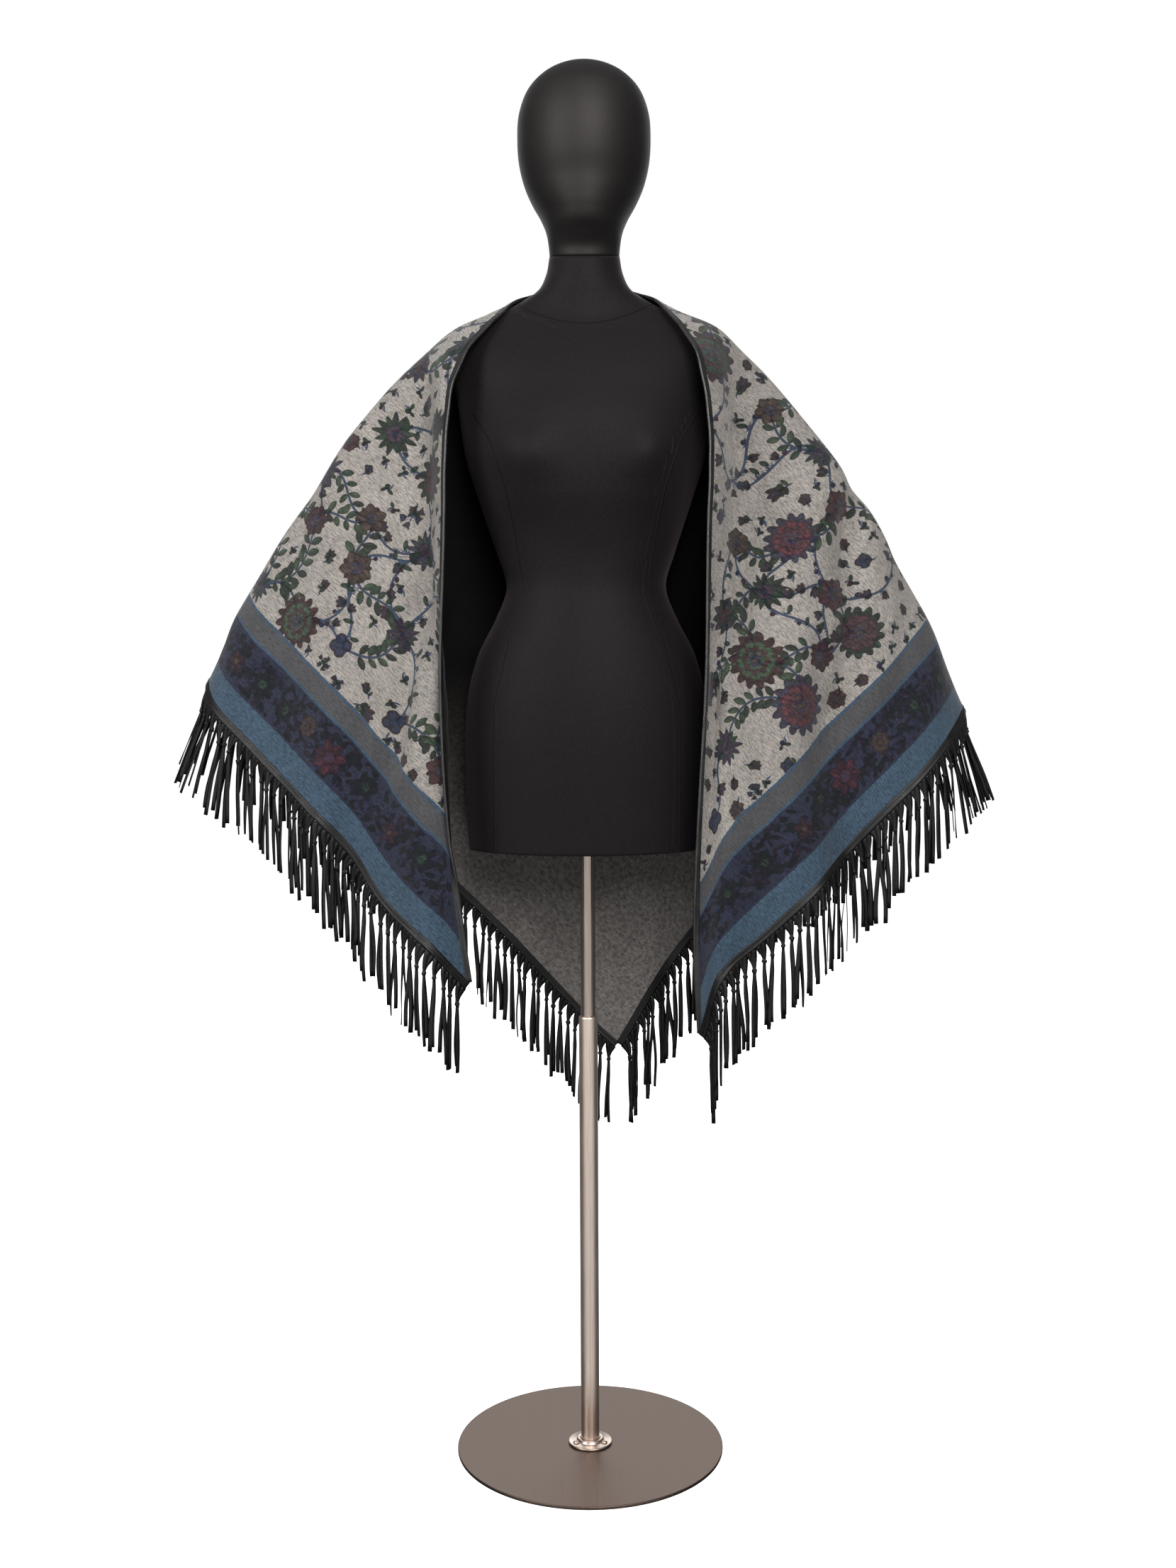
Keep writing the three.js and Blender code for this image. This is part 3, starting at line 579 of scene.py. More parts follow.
def bow(start, end, bulge, count=24):
    """Points of an S or C curve: bulge is the sideways share at a third and two thirds."""
    start, end = np.asarray(start, float), np.asarray(end, float)
    run = end - start
    side = np.array([-run[1], run[0]])
    knots = np.array([start, start + run / 3 + side * bulge[0], start + run * 2 / 3 + side * bulge[1], end])
    t = np.linspace(0, 1, count)[:, None]
    return (knots[0] * (1 - t) ** 3 + 3 * knots[1] * t * (1 - t) ** 2
            + 3 * knots[2] * t * t * (1 - t) + knots[3] * t ** 3)


def spiral(x, y, angle, size, turn, count=16):
    """Points of a small curl that leaves x, y along angle and winds to one side."""
    points = [(x, y)]
    heading = angle
    for k in range(count):
        heading += turn * (0.12 + 0.42 * k / count)
        points.append(away(*points[-1], heading, size / count * (1.5 - k / count)))
    return np.array(points)


def on_line(points, place, s):
    """Place on a line of points at distance s, and the line's heading there."""
    (x, y), (x2, y2) = [[np.interp(v, place, points[:, c]) for c in (0, 1)] for v in (s, s + 1.5)]
    return x, y, math.atan2(y2 - y, x2 - x)


# Motifs
def medallion(x, y, r, phase, kind):
    rims = [(BURGUNDY, MAROON), (SLATE, PURPLE), (GREEN, DEEP_GREEN), (PURPLE, MAROON)][kind % 4]
    rings = [(GREEN, MOSS), (BURGUNDY, ROSE), (PURPLE, BURGUNDY), (DEEP_GREEN, GREEN)][kind % 4]
    corolla(x, y, 14, phase, r * 0.42, r * 0.27, rims, root=r * 0.66, lean=0.25)
    for size, petals, notch, point, inner, outer, turn in (
            (0.86, 12, 0.88, 1.0, rims[0], rims[1], 0), (0.74, 9, 0.86, 0.8, rings[0], rings[1], 0.3),
            (0.55, 8, 0.72, 0.9, rims[1], BURGUNDY, 0), (0.40, 6, 0.62, 0.8, SLATE, rings[1], 0.2),
            (0.24, 5, 0.6, 0.8, NAVY, PURPLE, 0)):
        rosette(x, y, r * size, petals, notch, point, inner, outer, phase + turn)
    disc(x, y, r * 0.09, OCHRE)


def palmette(x, y, r, angle, kind):
    tones = [(DEEP_GREEN, PURPLE), (BURGUNDY, PURPLE), (NAVY, BURGUNDY)][kind % 3]
    for k in range(-4, 5):
        length = r * (1.28 - 0.055 * k * k)
        leaf(*away(x, y, angle, -r * 0.42), angle + k * 0.40, length, r * 0.40, tones[k % 2])
    rosette(x, y, r * 0.52, 7, 0.7, 0.8, PURPLE, tones[0], angle)
    rosette(x, y, r * 0.34, 5, 0.6, 0.9, ROSE, MAROON, angle)
    disc(x, y, r * 0.13, GREEN)
    for side in (-1, 1):
        leaf(*away(x, y, angle, -r * 0.6), angle + math.pi + side * 0.7, r * 0.55, r * 0.24, GREEN)


def star_flower(x, y, r, phase, rng):
    petals = pick(rng, (5, 6))
    outer = pick(rng, (BURGUNDY, MAROON, BURGUNDY, BROWN))
    corolla(x, y, petals, phase + math.pi / petals, r * 0.95, r * 0.42, [MAROON])
    corolla(x, y, petals, phase, r * 1.06, r * 0.66, [outer])
    rosette(x, y, r * 0.42, petals, 0.6, 0.8, SLATE, PURPLE, phase)
    disc(x, y, r * 0.13, OCHRE)


def aster(x, y, r, phase, kind):
    outer = (PURPLE, DEEP_GREEN, SLATE)[kind % 3]
    for k in range(13):
        angle = phase + k * math.tau / 13
        tone = outer if k % 3 else GREEN
        leaf(*away(x, y, angle, r * 0.15), angle, r * (0.9 + 0.1 * (k % 3)), r * 0.27, tone)
    rosette(x, y, r * 0.46, 8, 0.7, 0.8, BURGUNDY, PURPLE, phase)
    disc(x, y, r * 0.17, NAVY)


def quatrefoil(x, y, r, phase):
    for rim, colour in ((1.0, MAROON), (0.82, NAVY)):
        for k in range(4):
            disc(*away(x, y, phase + k * math.tau / 4, r * 0.5), r * 0.5 * rim, colour)
    rosette(x, y, r * 0.3, 4, 0.6, 0.8, SLATE, VINE, phase)


def bud(x, y, size, angle, colour):
    for lean in (-0.55, 0.55, 0.0):
        leaf(x, y, angle + lean, size, size * 0.42, colour if lean else PURPLE)
    for lean in (-0.9, 0.9):
        leaf(*away(x, y, angle, -size * 0.12), angle + lean, size * 0.55, size * 0.22, GREEN)


def berries(x, y, size, rng):
    for k in range(5):
        a = k * math.tau / 5 + rng.uniform(-0.3, 0.3)
        cx, cy = away(x, y, a, size * rng.uniform(0.5, 0.95))
        stalk([(x, y), (cx, cy)], 1.3, 1.3)
        for lean in (0.9, -0.9):
            leaf(cx, cy, a + lean, size * 0.5, size * 0.2, GREEN)
        disc(cx, cy, size * rng.uniform(0.24, 0.32), (NAVY, PURPLE, MAROON)[k % 3])


def sprig(x, y, angle, size, rng):
    """A short curled stalk with a flower or bud at its head and a few leaves."""
    foot = away(x, y, angle, -size * 0.75)
    curl = bow(foot, (x, y), (rng.uniform(-0.4, 0.4), rng.uniform(-0.4, 0.4)), 10)
    stalk(curl, 2.4, 1.8)
    for k, side in ((2, -1), (4, 1), (6, -1), (7, 1)):
        leaf(*curl[k], angle + side * rng.uniform(0.7, 1.2), size * rng.uniform(0.5, 0.7), size * 0.24,
             (GREEN, DEEP_GREEN, MOSS)[k % 3])
    choice = rng.random()
    if choice < 0.35:
        star_flower(x, y, size * 0.66, angle, rng)
    elif choice < 0.6:
        bud(x, y, size * 0.85, angle, pick(rng, (BURGUNDY, MAROON)))
    elif choice < 0.8:
        quatrefoil(x, y, size * 0.5, angle)
    else:
        berries(x, y, size * 0.75, rng)


def leafy(points, rng, spacing, size):
    """Paired leaves along a vine."""
    place = run_lengths(points)
    for s in np.arange(place[-1] * 0.12, place[-1] * 0.97, spacing):
        x, y, heading = on_line(points, place, s)
        for side in (-1, 1):
            length = size * rng.uniform(0.8, 1.12)
            tone = pick(rng, (GREEN, DEEP_GREEN, MOSS))
            leaf(*away(x, y, heading + math.pi / 2, side * 1.6), heading + side * rng.uniform(0.75, 1.1),
                 length, length * 0.48, tone)


def vine(start, end, rng, leaves):
    """A vine between two flowers, with curls and either leaves or buds along it."""
    lean = rng.choice([-1, 1])
    shape = (0.34 * lean, 0.30 * lean) if rng.random() < 0.55 else (0.36 * lean, -0.30 * lean)
    points = bow(start, end, np.array(shape) * rng.uniform(0.7, 1.25))
    stalk(points, 3.2, 2.6)
    place = run_lengths(points)
    if leaves:
        leafy(points[4:-4], rng, spacing=rng.uniform(11.5, 15), size=rng.uniform(15, 19.5))
        return
    for s in np.arange(14, place[-1] - 12, rng.uniform(13, 18)):
        x, y, heading = on_line(points, place, s)
        side = rng.choice([-1, 1])
        curl = spiral(x, y, heading + side * 0.6, rng.uniform(9, 15), side * rng.choice([1, 1, -1]))
        stalk(curl, 2.2, 1.6)
        choice = rng.random()
        if choice < 0.34:
            bud(*curl[-1], rng.uniform(10, 14), heading + side * 1.2, pick(rng, (BURGUNDY, MAROON)))
        elif choice < 0.6:
            leaf(*curl[-1], heading + side * 1.3, rng.uniform(10, 15), 5.4, GREEN)
        else:
            disc(*curl[-1], rng.uniform(2.0, 3.2), pick(rng, (NAVY, PURPLE, BURGUNDY)))


def busy(x, y, reach):
    """True if the print already has something within reach of a flat place."""
    part, dx, dy = window(x, y, reach)
    near = np.hypot(dx, dy) < reach
    taken = (INK[part] > -1.5) | ((STEM_HALF[part] > 0) & (np.abs(STEM[part]) < 3))
    return bool((taken & near).any()) or x + y > LEG + 10 or min(x, y) < BAND_EDGES[4] + 4


FLOWER_PITCH = 90.0
ROW_SHARE = 0.87               # gap between rows, as a share of the pitch
FLOWER_JITTER = 20
FIELD_INSET = 40
VINE_CHANCES = (0.95, 0.7, 0.35)       # towards the nearest flower, the second and the third
FILLERS = ((21, 1400, 19), (14, 3000, 12), (9.5, 5200, 0))     # free reach, tries, size of sprig
BAND_LEAVES = 1300
BAND_LEAF_REACH = 27
BAND_FLOWERS_FROM, BAND_FLOWERS_SHORT = 150.0, 110


def field_print():
    """Vines, flowers and sprays over the field, from a seeded uneven net of places."""
    rng = np.random.default_rng(41)
    places = []
    rows = int((LEG - BAND_EDGES[4]) / (FLOWER_PITCH * ROW_SHARE)) + 1
    for row in range(rows):
        for col in range(rows + 1):
            x = BAND_EDGES[4] + FIELD_INSET + (col + 0.5 * (row % 2)) * FLOWER_PITCH
            y = BAND_EDGES[4] + FIELD_INSET + row * FLOWER_PITCH * ROW_SHARE
            x += rng.uniform(-FLOWER_JITTER, FLOWER_JITTER)
            y += rng.uniform(-FLOWER_JITTER, FLOWER_JITTER)
            if x + y < LEG + 25:
                places.append((x, y, len(places)))
    kinds = rng.permutation(len(places))
    for i, (x, y, _) in enumerate(places):
        near = sorted((math.hypot(x - u, y - v), j) for u, v, j in places if j > i)
        for (gap, j), chance in zip(near, VINE_CHANCES):
            if gap < FLOWER_PITCH * 1.5 and rng.random() < chance:
                vine((x, y), places[j][:2], rng, leaves=rng.random() < 0.42)
    for (x, y, _), kind in zip(places, kinds):
        phase = rng.uniform(0, math.tau)
        which = kind % 10
        if which in (0, 4):
            medallion(x, y, rng.uniform(28, 37), phase, int(kind // 10))
        elif which == 2:
            palmette(x, y, rng.uniform(24, 30), phase, int(kind // 10))
        elif which in (1, 5, 8):
            star_flower(x, y, rng.uniform(17, 21), phase, rng)
        elif which in (6, 9):
            aster(x, y, rng.uniform(18, 24), phase, int(kind // 10))
        elif which == 3:
            quatrefoil(x, y, rng.uniform(14, 17), phase)
        else:
            berries(x, y, rng.uniform(15, 18), rng)
    for reach, tries, size in FILLERS:
        for _ in range(tries):
            x, y = rng.uniform(BAND_EDGES[4], LEG, 2)
            angle = rng.uniform(0, math.tau)
            if x + y > LEG or busy(x, y, reach):
                continue
            if size:
                sprig(x, y, angle, size, rng)
                continue
            curl = spiral(*away(x, y, angle, -6), angle, 15, rng.choice([-1, 1]))
            stalk(curl, 2.0, 1.5)
            disc(*curl[-1], rng.uniform(2.2, 3.2), pick(rng, (NAVY, MAROON, DEEP_GREEN)))
            leaf(*curl[6], angle + 1.1, 8.5, 4.2, GREEN)
            leaf(*curl[9], angle - 0.9, 7.5, 3.8, DEEP_GREEN)


def band_flower(x, y, kind, phase):
    """One of the soft flowers of the dark band."""
    def petals(count, length, width, tones):
        corolla(x, y, count, phase, length, width, tones, zone=IN_BAND)

    def heart(r, count, notch, inner, outer):
        rosette(x, y, r, count, notch, 0.8, inner, outer, phase, IN_BAND)

    if kind == 0:
        petals(7, 24, 12, BAND_REDS)
        heart(9, 6, 0.7, PURPLE, BAND_WINE)
    elif kind in (1, 3, 4):
        petals(6, 17, 9, [BAND_BLACK])
        heart(6.2, 5, 0.6, BAND_MOSS, BAND_GREEN)
        disc(x, y, 1.8, BAND_CORE, IN_BAND)
    elif kind == 2:
        petals(5, 15, 8.5, [BAND_ROSE])
        heart(5, 5, 0.6, OCHRE, BAND_TAN)
    else:
        heart(14, 8, 0.75, BROWN, BAND_BROWN)
        heart(5, 5, 0.6, BAND_SAND, BROWN)


def band_print():
    """Soft flowers and leaves along the dark band of both short sides."""
    rng = np.random.default_rng(5)
    middle = (BAND_EDGES[0] + BAND_EDGES[1]) / 2
    for side in (0, 1):
        for _ in range(BAND_LEAVES):
            s = rng.uniform(40, LEG - 90)
            d = middle + rng.uniform(-BAND_LEAF_REACH, BAND_LEAF_REACH)
            x, y = (s, d) if side == 0 else (d, s)
            leaf(x, y, rng.uniform(0, math.tau), rng.uniform(7, 16), rng.uniform(3.5, 6.5),
                 pick(rng, BAND_SCATTER), IN_BAND)
        s = BAND_FLOWERS_FROM
        n = side
        while s < LEG - BAND_FLOWERS_SHORT:
            d = middle + rng.uniform(-7, 7)
            x, y = (s, d) if side == 0 else (d, s)
            band_flower(x, y, n % 6, rng.uniform(0, math.tau))
            s += rng.uniform(44, 66)
            n += 1


# Borders of the cloth
BORDER_STEP = 3.7
INLAND = 2                     # cells from the border, to tell which way is outward


class Border:
    """One side of the cloth as a fine line, with its outward and normal directions."""

    def __init__(self, name):
        cells = int(LEG / BORDER_STEP)
        grid = cloth_surface(cells)
        normals = normals_of(grid)
        k = np.arange(cells + 1)
        back_k = np.maximum(k - INLAND, 0)
        line, back = {
            "left": ((k, 0 * k), (back_k, 0 * k + INLAND)),
            "right": ((0 * k, k), (0 * k + INLAND, back_k)),
            "long": ((k, cells - k), (back_k, back_k[::-1])),
        }[name]
        self.p = grid[line]
        self.run = unit(np.gradient(self.p, axis=0))
        normal = normals[line]
        self.normal = unit(normal - self.run * (normal * self.run).sum(-1, keepdims=True))
        out = np.cross(self.run, self.normal)
        inward = grid[back] - self.p
        flip = (out * inward).sum(-1).mean() > 0
        self.out = -out if flip else out
        self.s = run_lengths(self.p)

    def at(self, s):
        """Point, outward, normal and run directions at distance s along the border."""
        read = [np.array([np.interp(s, self.s, v[:, c]) for c in range(3)]).T
                for v in (self.p, self.out, self.normal, self.run)]
        return [read[0]] + [unit(v) for v in read[1:]]


def rolled_strip(pile, border, s, section):
    """A strip that follows a border: its section is a loop of (outward, normal) places."""
    p, out, normal, _ = border.at(s)
    rings = p[:, None] + out[:, None] * section[:, :1] + normal[:, None] * section[:, 1:]
    faces = tube_faces(len(s), len(section))
    if np.cross(out[0], normal[0]) @ (p[1] - p[0]) < 0:
        faces = [face[::-1] for face in faces]
    pile.add(rings, faces)


def roll_section(lip, width, lip_half, roll_half, turns=14):
    """A flat lip over the cloth edge that swells into a rounded roll."""
    loop = []
    for k in range(turns):
        angle = -math.pi / 2 + math.pi * (k + 0.5) / turns
        loop.append(((width + lip) / 2 + (width - lip) / 2 * math.cos(angle) ** 0.8 * 0.98,
                     roll_half * math.sin(angle)))
    upper = [(lip + 1.2, roll_half * 0.86), (lip + 0.3, lip_half * 1.02), (lip - 1.0, lip_half),
             (-2.4, lip_half), (-3.1, lip_half * 0.7)]
    lower = [(o, -h) for o, h in reversed(upper)]
    return np.array(lower + loop + upper)


STITCH_PITCH, STITCH_LENGTH, STITCH_HALF = 3.1, 2.1, 0.42


def stitch_row(pile, border, offset, height, start, end):
    """A row of small raised stitches along a strip."""
    s = np.arange(start, end, STITCH_PITCH)
    p, out, normal, _ = border.at(s)
    far_p, far_out, _, _ = border.at(s + STITCH_LENGTH)
    heads, tails = p + out * offset, far_p + far_out * offset
    for head, tail, side, up in zip(heads, tails, out * STITCH_HALF, normal):
        points = []
        for t, w, h in ((0.0, 0.35, -0.25), (0.25, 1.0, 0.25), (0.75, 1.0, 0.25), (1.0, 0.35, -0.25)):
            middle = head + (tail - head) * t + up * (height + h)
            points += [middle - side * w, middle + up * STITCH_HALF * w, middle + side * w]
        pile.add(points, tube_faces(4, 3))


# Fringe
LOCKS = 96
FRINGE_ROOT = 6.4
KNOT_DROP = 23.0
KNOT_TURNS, KNOT_SIDES = 10, 6
TAB_RUN, TAB_SAG = 6, 4        # how far the flat tabs run out, and sag, before they gather
KNOT_LIFT = 5                  # how much the run of the tabs takes off the knot's drop
CORE_RINGS = ((-4.5, 1.7), (-1.5, 2.4), (1.5, 2.4), (4.5, 1.7))    # height, radius
TAB_WIDTHS = [8.3, 7.8, 6.8, 5.4, 4.2, 3.2, 4.4, 5.4]
TAB_HALVES = [0.6, 0.6, 0.7, 0.8, 1.0, 1.2, 0.7, 0.55]
TAB_ROWS, STRIP_ROWS = 6, 9
STRIP_WIDTH = 5.6
STRIP_HALF = 0.5
STRIP_DROP = (80, 97)
TIP_EXTRA = {"left": -7.0, "right": 7.0}
FLARE, FLARE_FROM = 33.0, 425.0
DOWN = np.array([0, 0, -1.0])


def level(v):
    """Unit vector of the level part of v."""
    return unit(v * [1, 1, 0] + 1e-9)


def ring_places(x, y, count):
    """Steps evenly round the ellipse whose half axes are x and y."""
    turn = np.arange(count)[:, None] * math.tau / count
    return x * np.cos(turn) + y * np.sin(turn)


def ribbon(pile, path, across, width, half):
    """A flat strip along a path, with its own width, half thickness and broad direction by row."""
    run = unit(np.gradient(path, axis=0))
    across = unit(across - run * (across * run).sum(-1, keepdims=True))
    face = np.cross(run, across)
    w, h = width[:, None] / 2, half[:, None]
    rings = np.stack([path - across * w - face * h, path + across * w - face * h,
                      path + across * w + face * h, path - across * w + face * h], axis=1)
    pile.add(rings, tube_faces(len(path), 4))


def knot(pile, centre, along_dir, rng):
    """A small tight knot: a slanted turn of strip round the gathered core."""
    x = unit(np.cross(along_dir, rng.normal(size=3)))
    y = np.cross(along_dir, x)
    slant = rng.uniform(0.35, 0.6) * rng.choice([-1, 1])
    axis = unit(along_dir + x * slant)
    u = unit(np.cross(axis, y))
    major, minor = rng.uniform(2.1, 2.6), rng.uniform(1.25, 1.6)
    loop = [centre + spoke * major + ring_places(spoke * minor * 0.8, axis * minor * 1.25, KNOT_SIDES)
            for spoke in ring_places(u, np.cross(axis, u), KNOT_TURNS)]
    faces = tube_faces(KNOT_TURNS + 1, KNOT_SIDES, closed_ends=False)
    pile.add(loop, [[n % (KNOT_TURNS * KNOT_SIDES) for n in face] for face in faces])
    core = [centre + along_dir * h + ring_places(x, y, KNOT_SIDES) * r for h, r in CORE_RINGS]
    pile.add(core, tube_faces(len(CORE_RINGS), KNOT_SIDES))


def fringe_lock(strips, knots, border, s, rng, tip):
    """Two strips that leave the border apart, are knotted together and hang down."""
    root, out, normal, run = (v[0] for v in border.at(np.array([s])))
    outward, level_run = level(out), level(run)
    lean = rng.normal(0, 1.2, 3) * [1, 1, 0]
    centre = (root + out * (FRINGE_ROOT + TAB_RUN) + DOWN * (KNOT_DROP - KNOT_LIFT + rng.normal(0, 1.6))
              + outward * math.hypot(out[0], out[1]) * 2 + lean)
    knot(knots, centre, unit(DOWN + rng.normal(0, 0.12, 3)), rng)
    spread = LEG / LOCKS * 0.25
    flare = FLARE * smooth((abs(root[0]) - FLARE_FROM) / 70) * np.array([np.sign(root[0]), 0, 0])
    turn = rng.uniform(-0.5, 0.5)
    t = np.linspace(0, 1, TAB_ROWS)[:, None]
    q = np.linspace(0, 1, STRIP_ROWS + 1)[1:, None]
    for side in (-1, 1):
        start = root + run * spread * side + out * FRINGE_ROOT
        first = start + out * TAB_RUN * t + DOWN * TAB_SAG * t
        upper = (1 - smooth(t)) * first + smooth(t) * (centre + run * side * 0.5 * (1 - t))
        upper[:, 2] = (start[2] + (centre[2] - start[2]) * (0.25 * t + 0.75 * t ** 1.4)).ravel()
        drop = rng.uniform(*STRIP_DROP) + tip
        splay = run * side * rng.uniform(0.5, 3.2) + normal * rng.normal(0, 1.5)
        splay = splay + outward * rng.normal(1.5, 2.0)
        swing = flare * rng.uniform(0.7, 1.15)
        sway, phase = rng.uniform(-2.2, 2.2), rng.uniform(0, 6.28)
        lower = (centre + DOWN * drop * q + splay * [1, 1, 0] * smooth(q * 1.3) + swing * q
                 + level_run * sway * np.sin(q * 4 + phase) * q)
        twist = turn + side * rng.uniform(-0.4, 0.4) + rng.normal(0, 0.6) * q
        broad = level_run * np.cos(twist) + np.cross(level_run, DOWN) * np.sin(twist)
        width = np.array(TAB_WIDTHS + [STRIP_WIDTH] * (STRIP_ROWS - 2))
        width[8:] *= rng.uniform(0.86, 1.08)
        half = np.array(TAB_HALVES + [STRIP_HALF] * (STRIP_ROWS - 2))
        ribbon(strips, np.concatenate([upper, lower]), np.concatenate([[run] * TAB_ROWS, broad]), width, half)


def fringe(border, name, seed):
    rng = np.random.default_rng(seed)
    strips, knots = Pile(), Pile()
    total = border.s[-1]
    for k in range(LOCKS):
        s = (k + 0.5) * total / LOCKS
        tip = TIP_EXTRA[name] * max(0, 1 - (LOCKS - 1 - k) / 2.5) + rng.uniform(-3, 3)
        fringe_lock(strips, knots, border, s, rng, tip)
    node = f"fringe_{name}"
    return (strips.piece(f"fringe_strips_{name}", "fringe_leather", [node]),
            knots.piece(f"fringe_knots_{name}", "fringe_leather", [node]))


# Trim
HEM_ROLL = roll_section(2.2, 7.2, 1.5, 2.3)
EDGE_ROLL = roll_section(1.6, 5.4, 1.4, 2.0)


def trim(border, name, section, inset, slot, node, stitch_at):
    """A rolled leather edge along a border, with a row of stitches at (offset, height)."""
    end = border.s[-1]
    strip, row = Pile(), Pile()
    rolled_strip(strip, border, np.linspace(inset, end - inset, len(border.s)), section)
    stitch_row(row, border, *stitch_at, inset + 2, end - inset - 4)
    return strip.piece(name, slot, [node]), row.piece(f"{name}_stitches", slot)


# The form
SEAM_LEVEL, SEAM_TILT, SEAM_REACH = 1543.3, 0.2, 42.0


def with_sloping_seam(rings):
    """The form's rings with the seam under the head lower in front than behind."""
    sloped = rings.copy()
    weight = smooth(1 - np.abs(rings[..., 2] - SEAM_LEVEL) / SEAM_REACH)
    sloped[..., 2] += SEAM_TILT * np.clip(rings[..., 1], -60, 60) * weight
    return sloped


def form_piece(name, rings, node, cap_top):
    faces = tube_faces(*rings.shape[:2])
    if not cap_top:
        faces.pop()
    return mesh_piece(name, rings.reshape(-1, 3), faces, [node])


# The stand
def turned(name, profile, node, centre=(0, 0, 0), turns=96):
    """A lathe piece about a vertical line, from rows of radius and height in millimetres."""
    angle = np.arange(turns) * 2 * math.pi / turns
    ring = np.stack([np.cos(angle), np.sin(angle), 0 * angle], -1)
    rings = np.array([ring * r + (0, 0, z) + centre for r, z in profile])
    return mesh_piece(name, rings.reshape(-1, 3), tube_faces(len(profile), turns), [node])


def box_mm(node):
    return [np.array(corner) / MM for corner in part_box(node)]


def stand():
    """The stand's pieces by name. Rings beside each end keep the shading of the walls level."""
    _, (radius, _, top) = box_mm("base_plate")
    plate = [(0.5, 0), (radius - 0.5, 0), (radius - 0.1, 0.3), (radius, 0.9), (radius, top - 0.9),
             (radius - 0.3, top - 0.25), (radius - 0.9, top), (radius - 2.5, top), (0.5, top)]
    pieces = {"base": turned("stand_base", plate, "base_plate", turns=192)}
    (_, _, low), (rim, _, top) = box_mm("base_flange")
    tube = box_mm("lower_tube")[1][0]
    collar = [(tube, low), (rim - 0.3, low), (rim, low + 0.4), (rim, low + 1.9), (rim - 0.5, low + 2.6),
              (rim - 1.6, low + 3.0), (rim * 0.64, low + 3.1), (rim * 0.61, low + 3.5),
              (rim * 0.6, top - 1.2), (rim * 0.57, top - 0.2), (rim * 0.54, top), (tube + 0.3, top),
              (tube + 0.2, top - 1.0)]
    pieces["flange"] = turned("stand_flange", collar, "base_flange")
    for k in (1, 2, 3):
        node = f"flange_screw_{k}"
        lo, hi = box_mm(node)
        r, z, h = (hi[0] - lo[0]) / 2, lo[2], hi[2] - lo[2]
        dome = [(r * wide, z + high * h) for wide, high in (
            (1, 0), (1, 0.3), (0.93, 0.5), (0.78, 0.72), (0.55, 0.9), (0.34, 1), (0.3, 0.6))]
        pieces[node] = turned(node.replace("flange", "stand"), [(0.2, z), *dome, (0.2, z + 0.6 * h)], node,
                              (*(lo + hi)[:2] / 2, 0), 32)
    for name, end in (("lower_tube", [(0, 3.6), (0, 2.4), (0.3, 1.2), (1.1, 0.3), (2.0, 0)]),
                      ("upper_tube", [(0, 1), (0, 0)])):
        (_, _, low), (r, _, top) = box_mm(name)
        wall = [(0.5, low), (r, low), (r, low + 1)] + [(r - inset, top - below) for inset, below in end]
        pieces[name] = turned(f"stand_{name}", [*wall, (0.5, top)], name)
    return pieces


# Camera, floor and light
PHOTO_HEIGHT = 2212
FOCAL_PX = 2424.0
CAMERA_AT = (0.002, -2.203, 1.052)
CAMERA_DOWN = 4.5
CAMERA_ROLL = 0.28
FLOOR_HALF = 12.0
LIGHTS = [     # name, place, aim, size, power
    ("key", (-2.2, -1.9, 2.2), (0, 0, 1.15), (1.1, 1.8), 61),
    ("front", (0.7, -2.5, 2.45), (0, 0, 1.2), (1.5, 1.8), 77),
    ("back", (0, 3.4, 2.4), (0, 0, 1.1), (4.5, 2.5), 62),
]


def camera():
    data = bpy.data.cameras.new("camera")
    data.sensor_width = 36.0
    data.lens = FOCAL_PX / PHOTO_HEIGHT * data.sensor_width
    made = placed("camera", data)
    made.location = CAMERA_AT
    made.rotation_euler = (math.radians(90 - CAMERA_DOWN), math.radians(CAMERA_ROLL), 0)
    bpy.context.scene.camera = made


def area_light(name, at, aim, size, power):
    data = bpy.data.lights.new(name, "AREA")
    data.shape = "RECTANGLE"
    data.size, data.size_y = size
    data.energy = power
    lamp = placed(name, data)
    lamp.location = at
    lamp.visible_camera = False
    lamp.rotation_euler = (Vector(aim) - Vector(at)).to_track_quat("-Z", "Y").to_euler()


def stage_floor():
    mesh = bpy.data.meshes.new("floor")
    corners = [(x * FLOOR_HALF, y * FLOOR_HALF, 0) for x, y in ((-1, -1), (1, -1), (1, 1), (-1, 1))]
    mesh.from_pydata(corners, [], [(0, 1, 2, 3)])
    floor = placed("floor", mesh)
    floor.visible_diffuse = False
    floor.visible_glossy = False
    dress(floor, pale_floor())


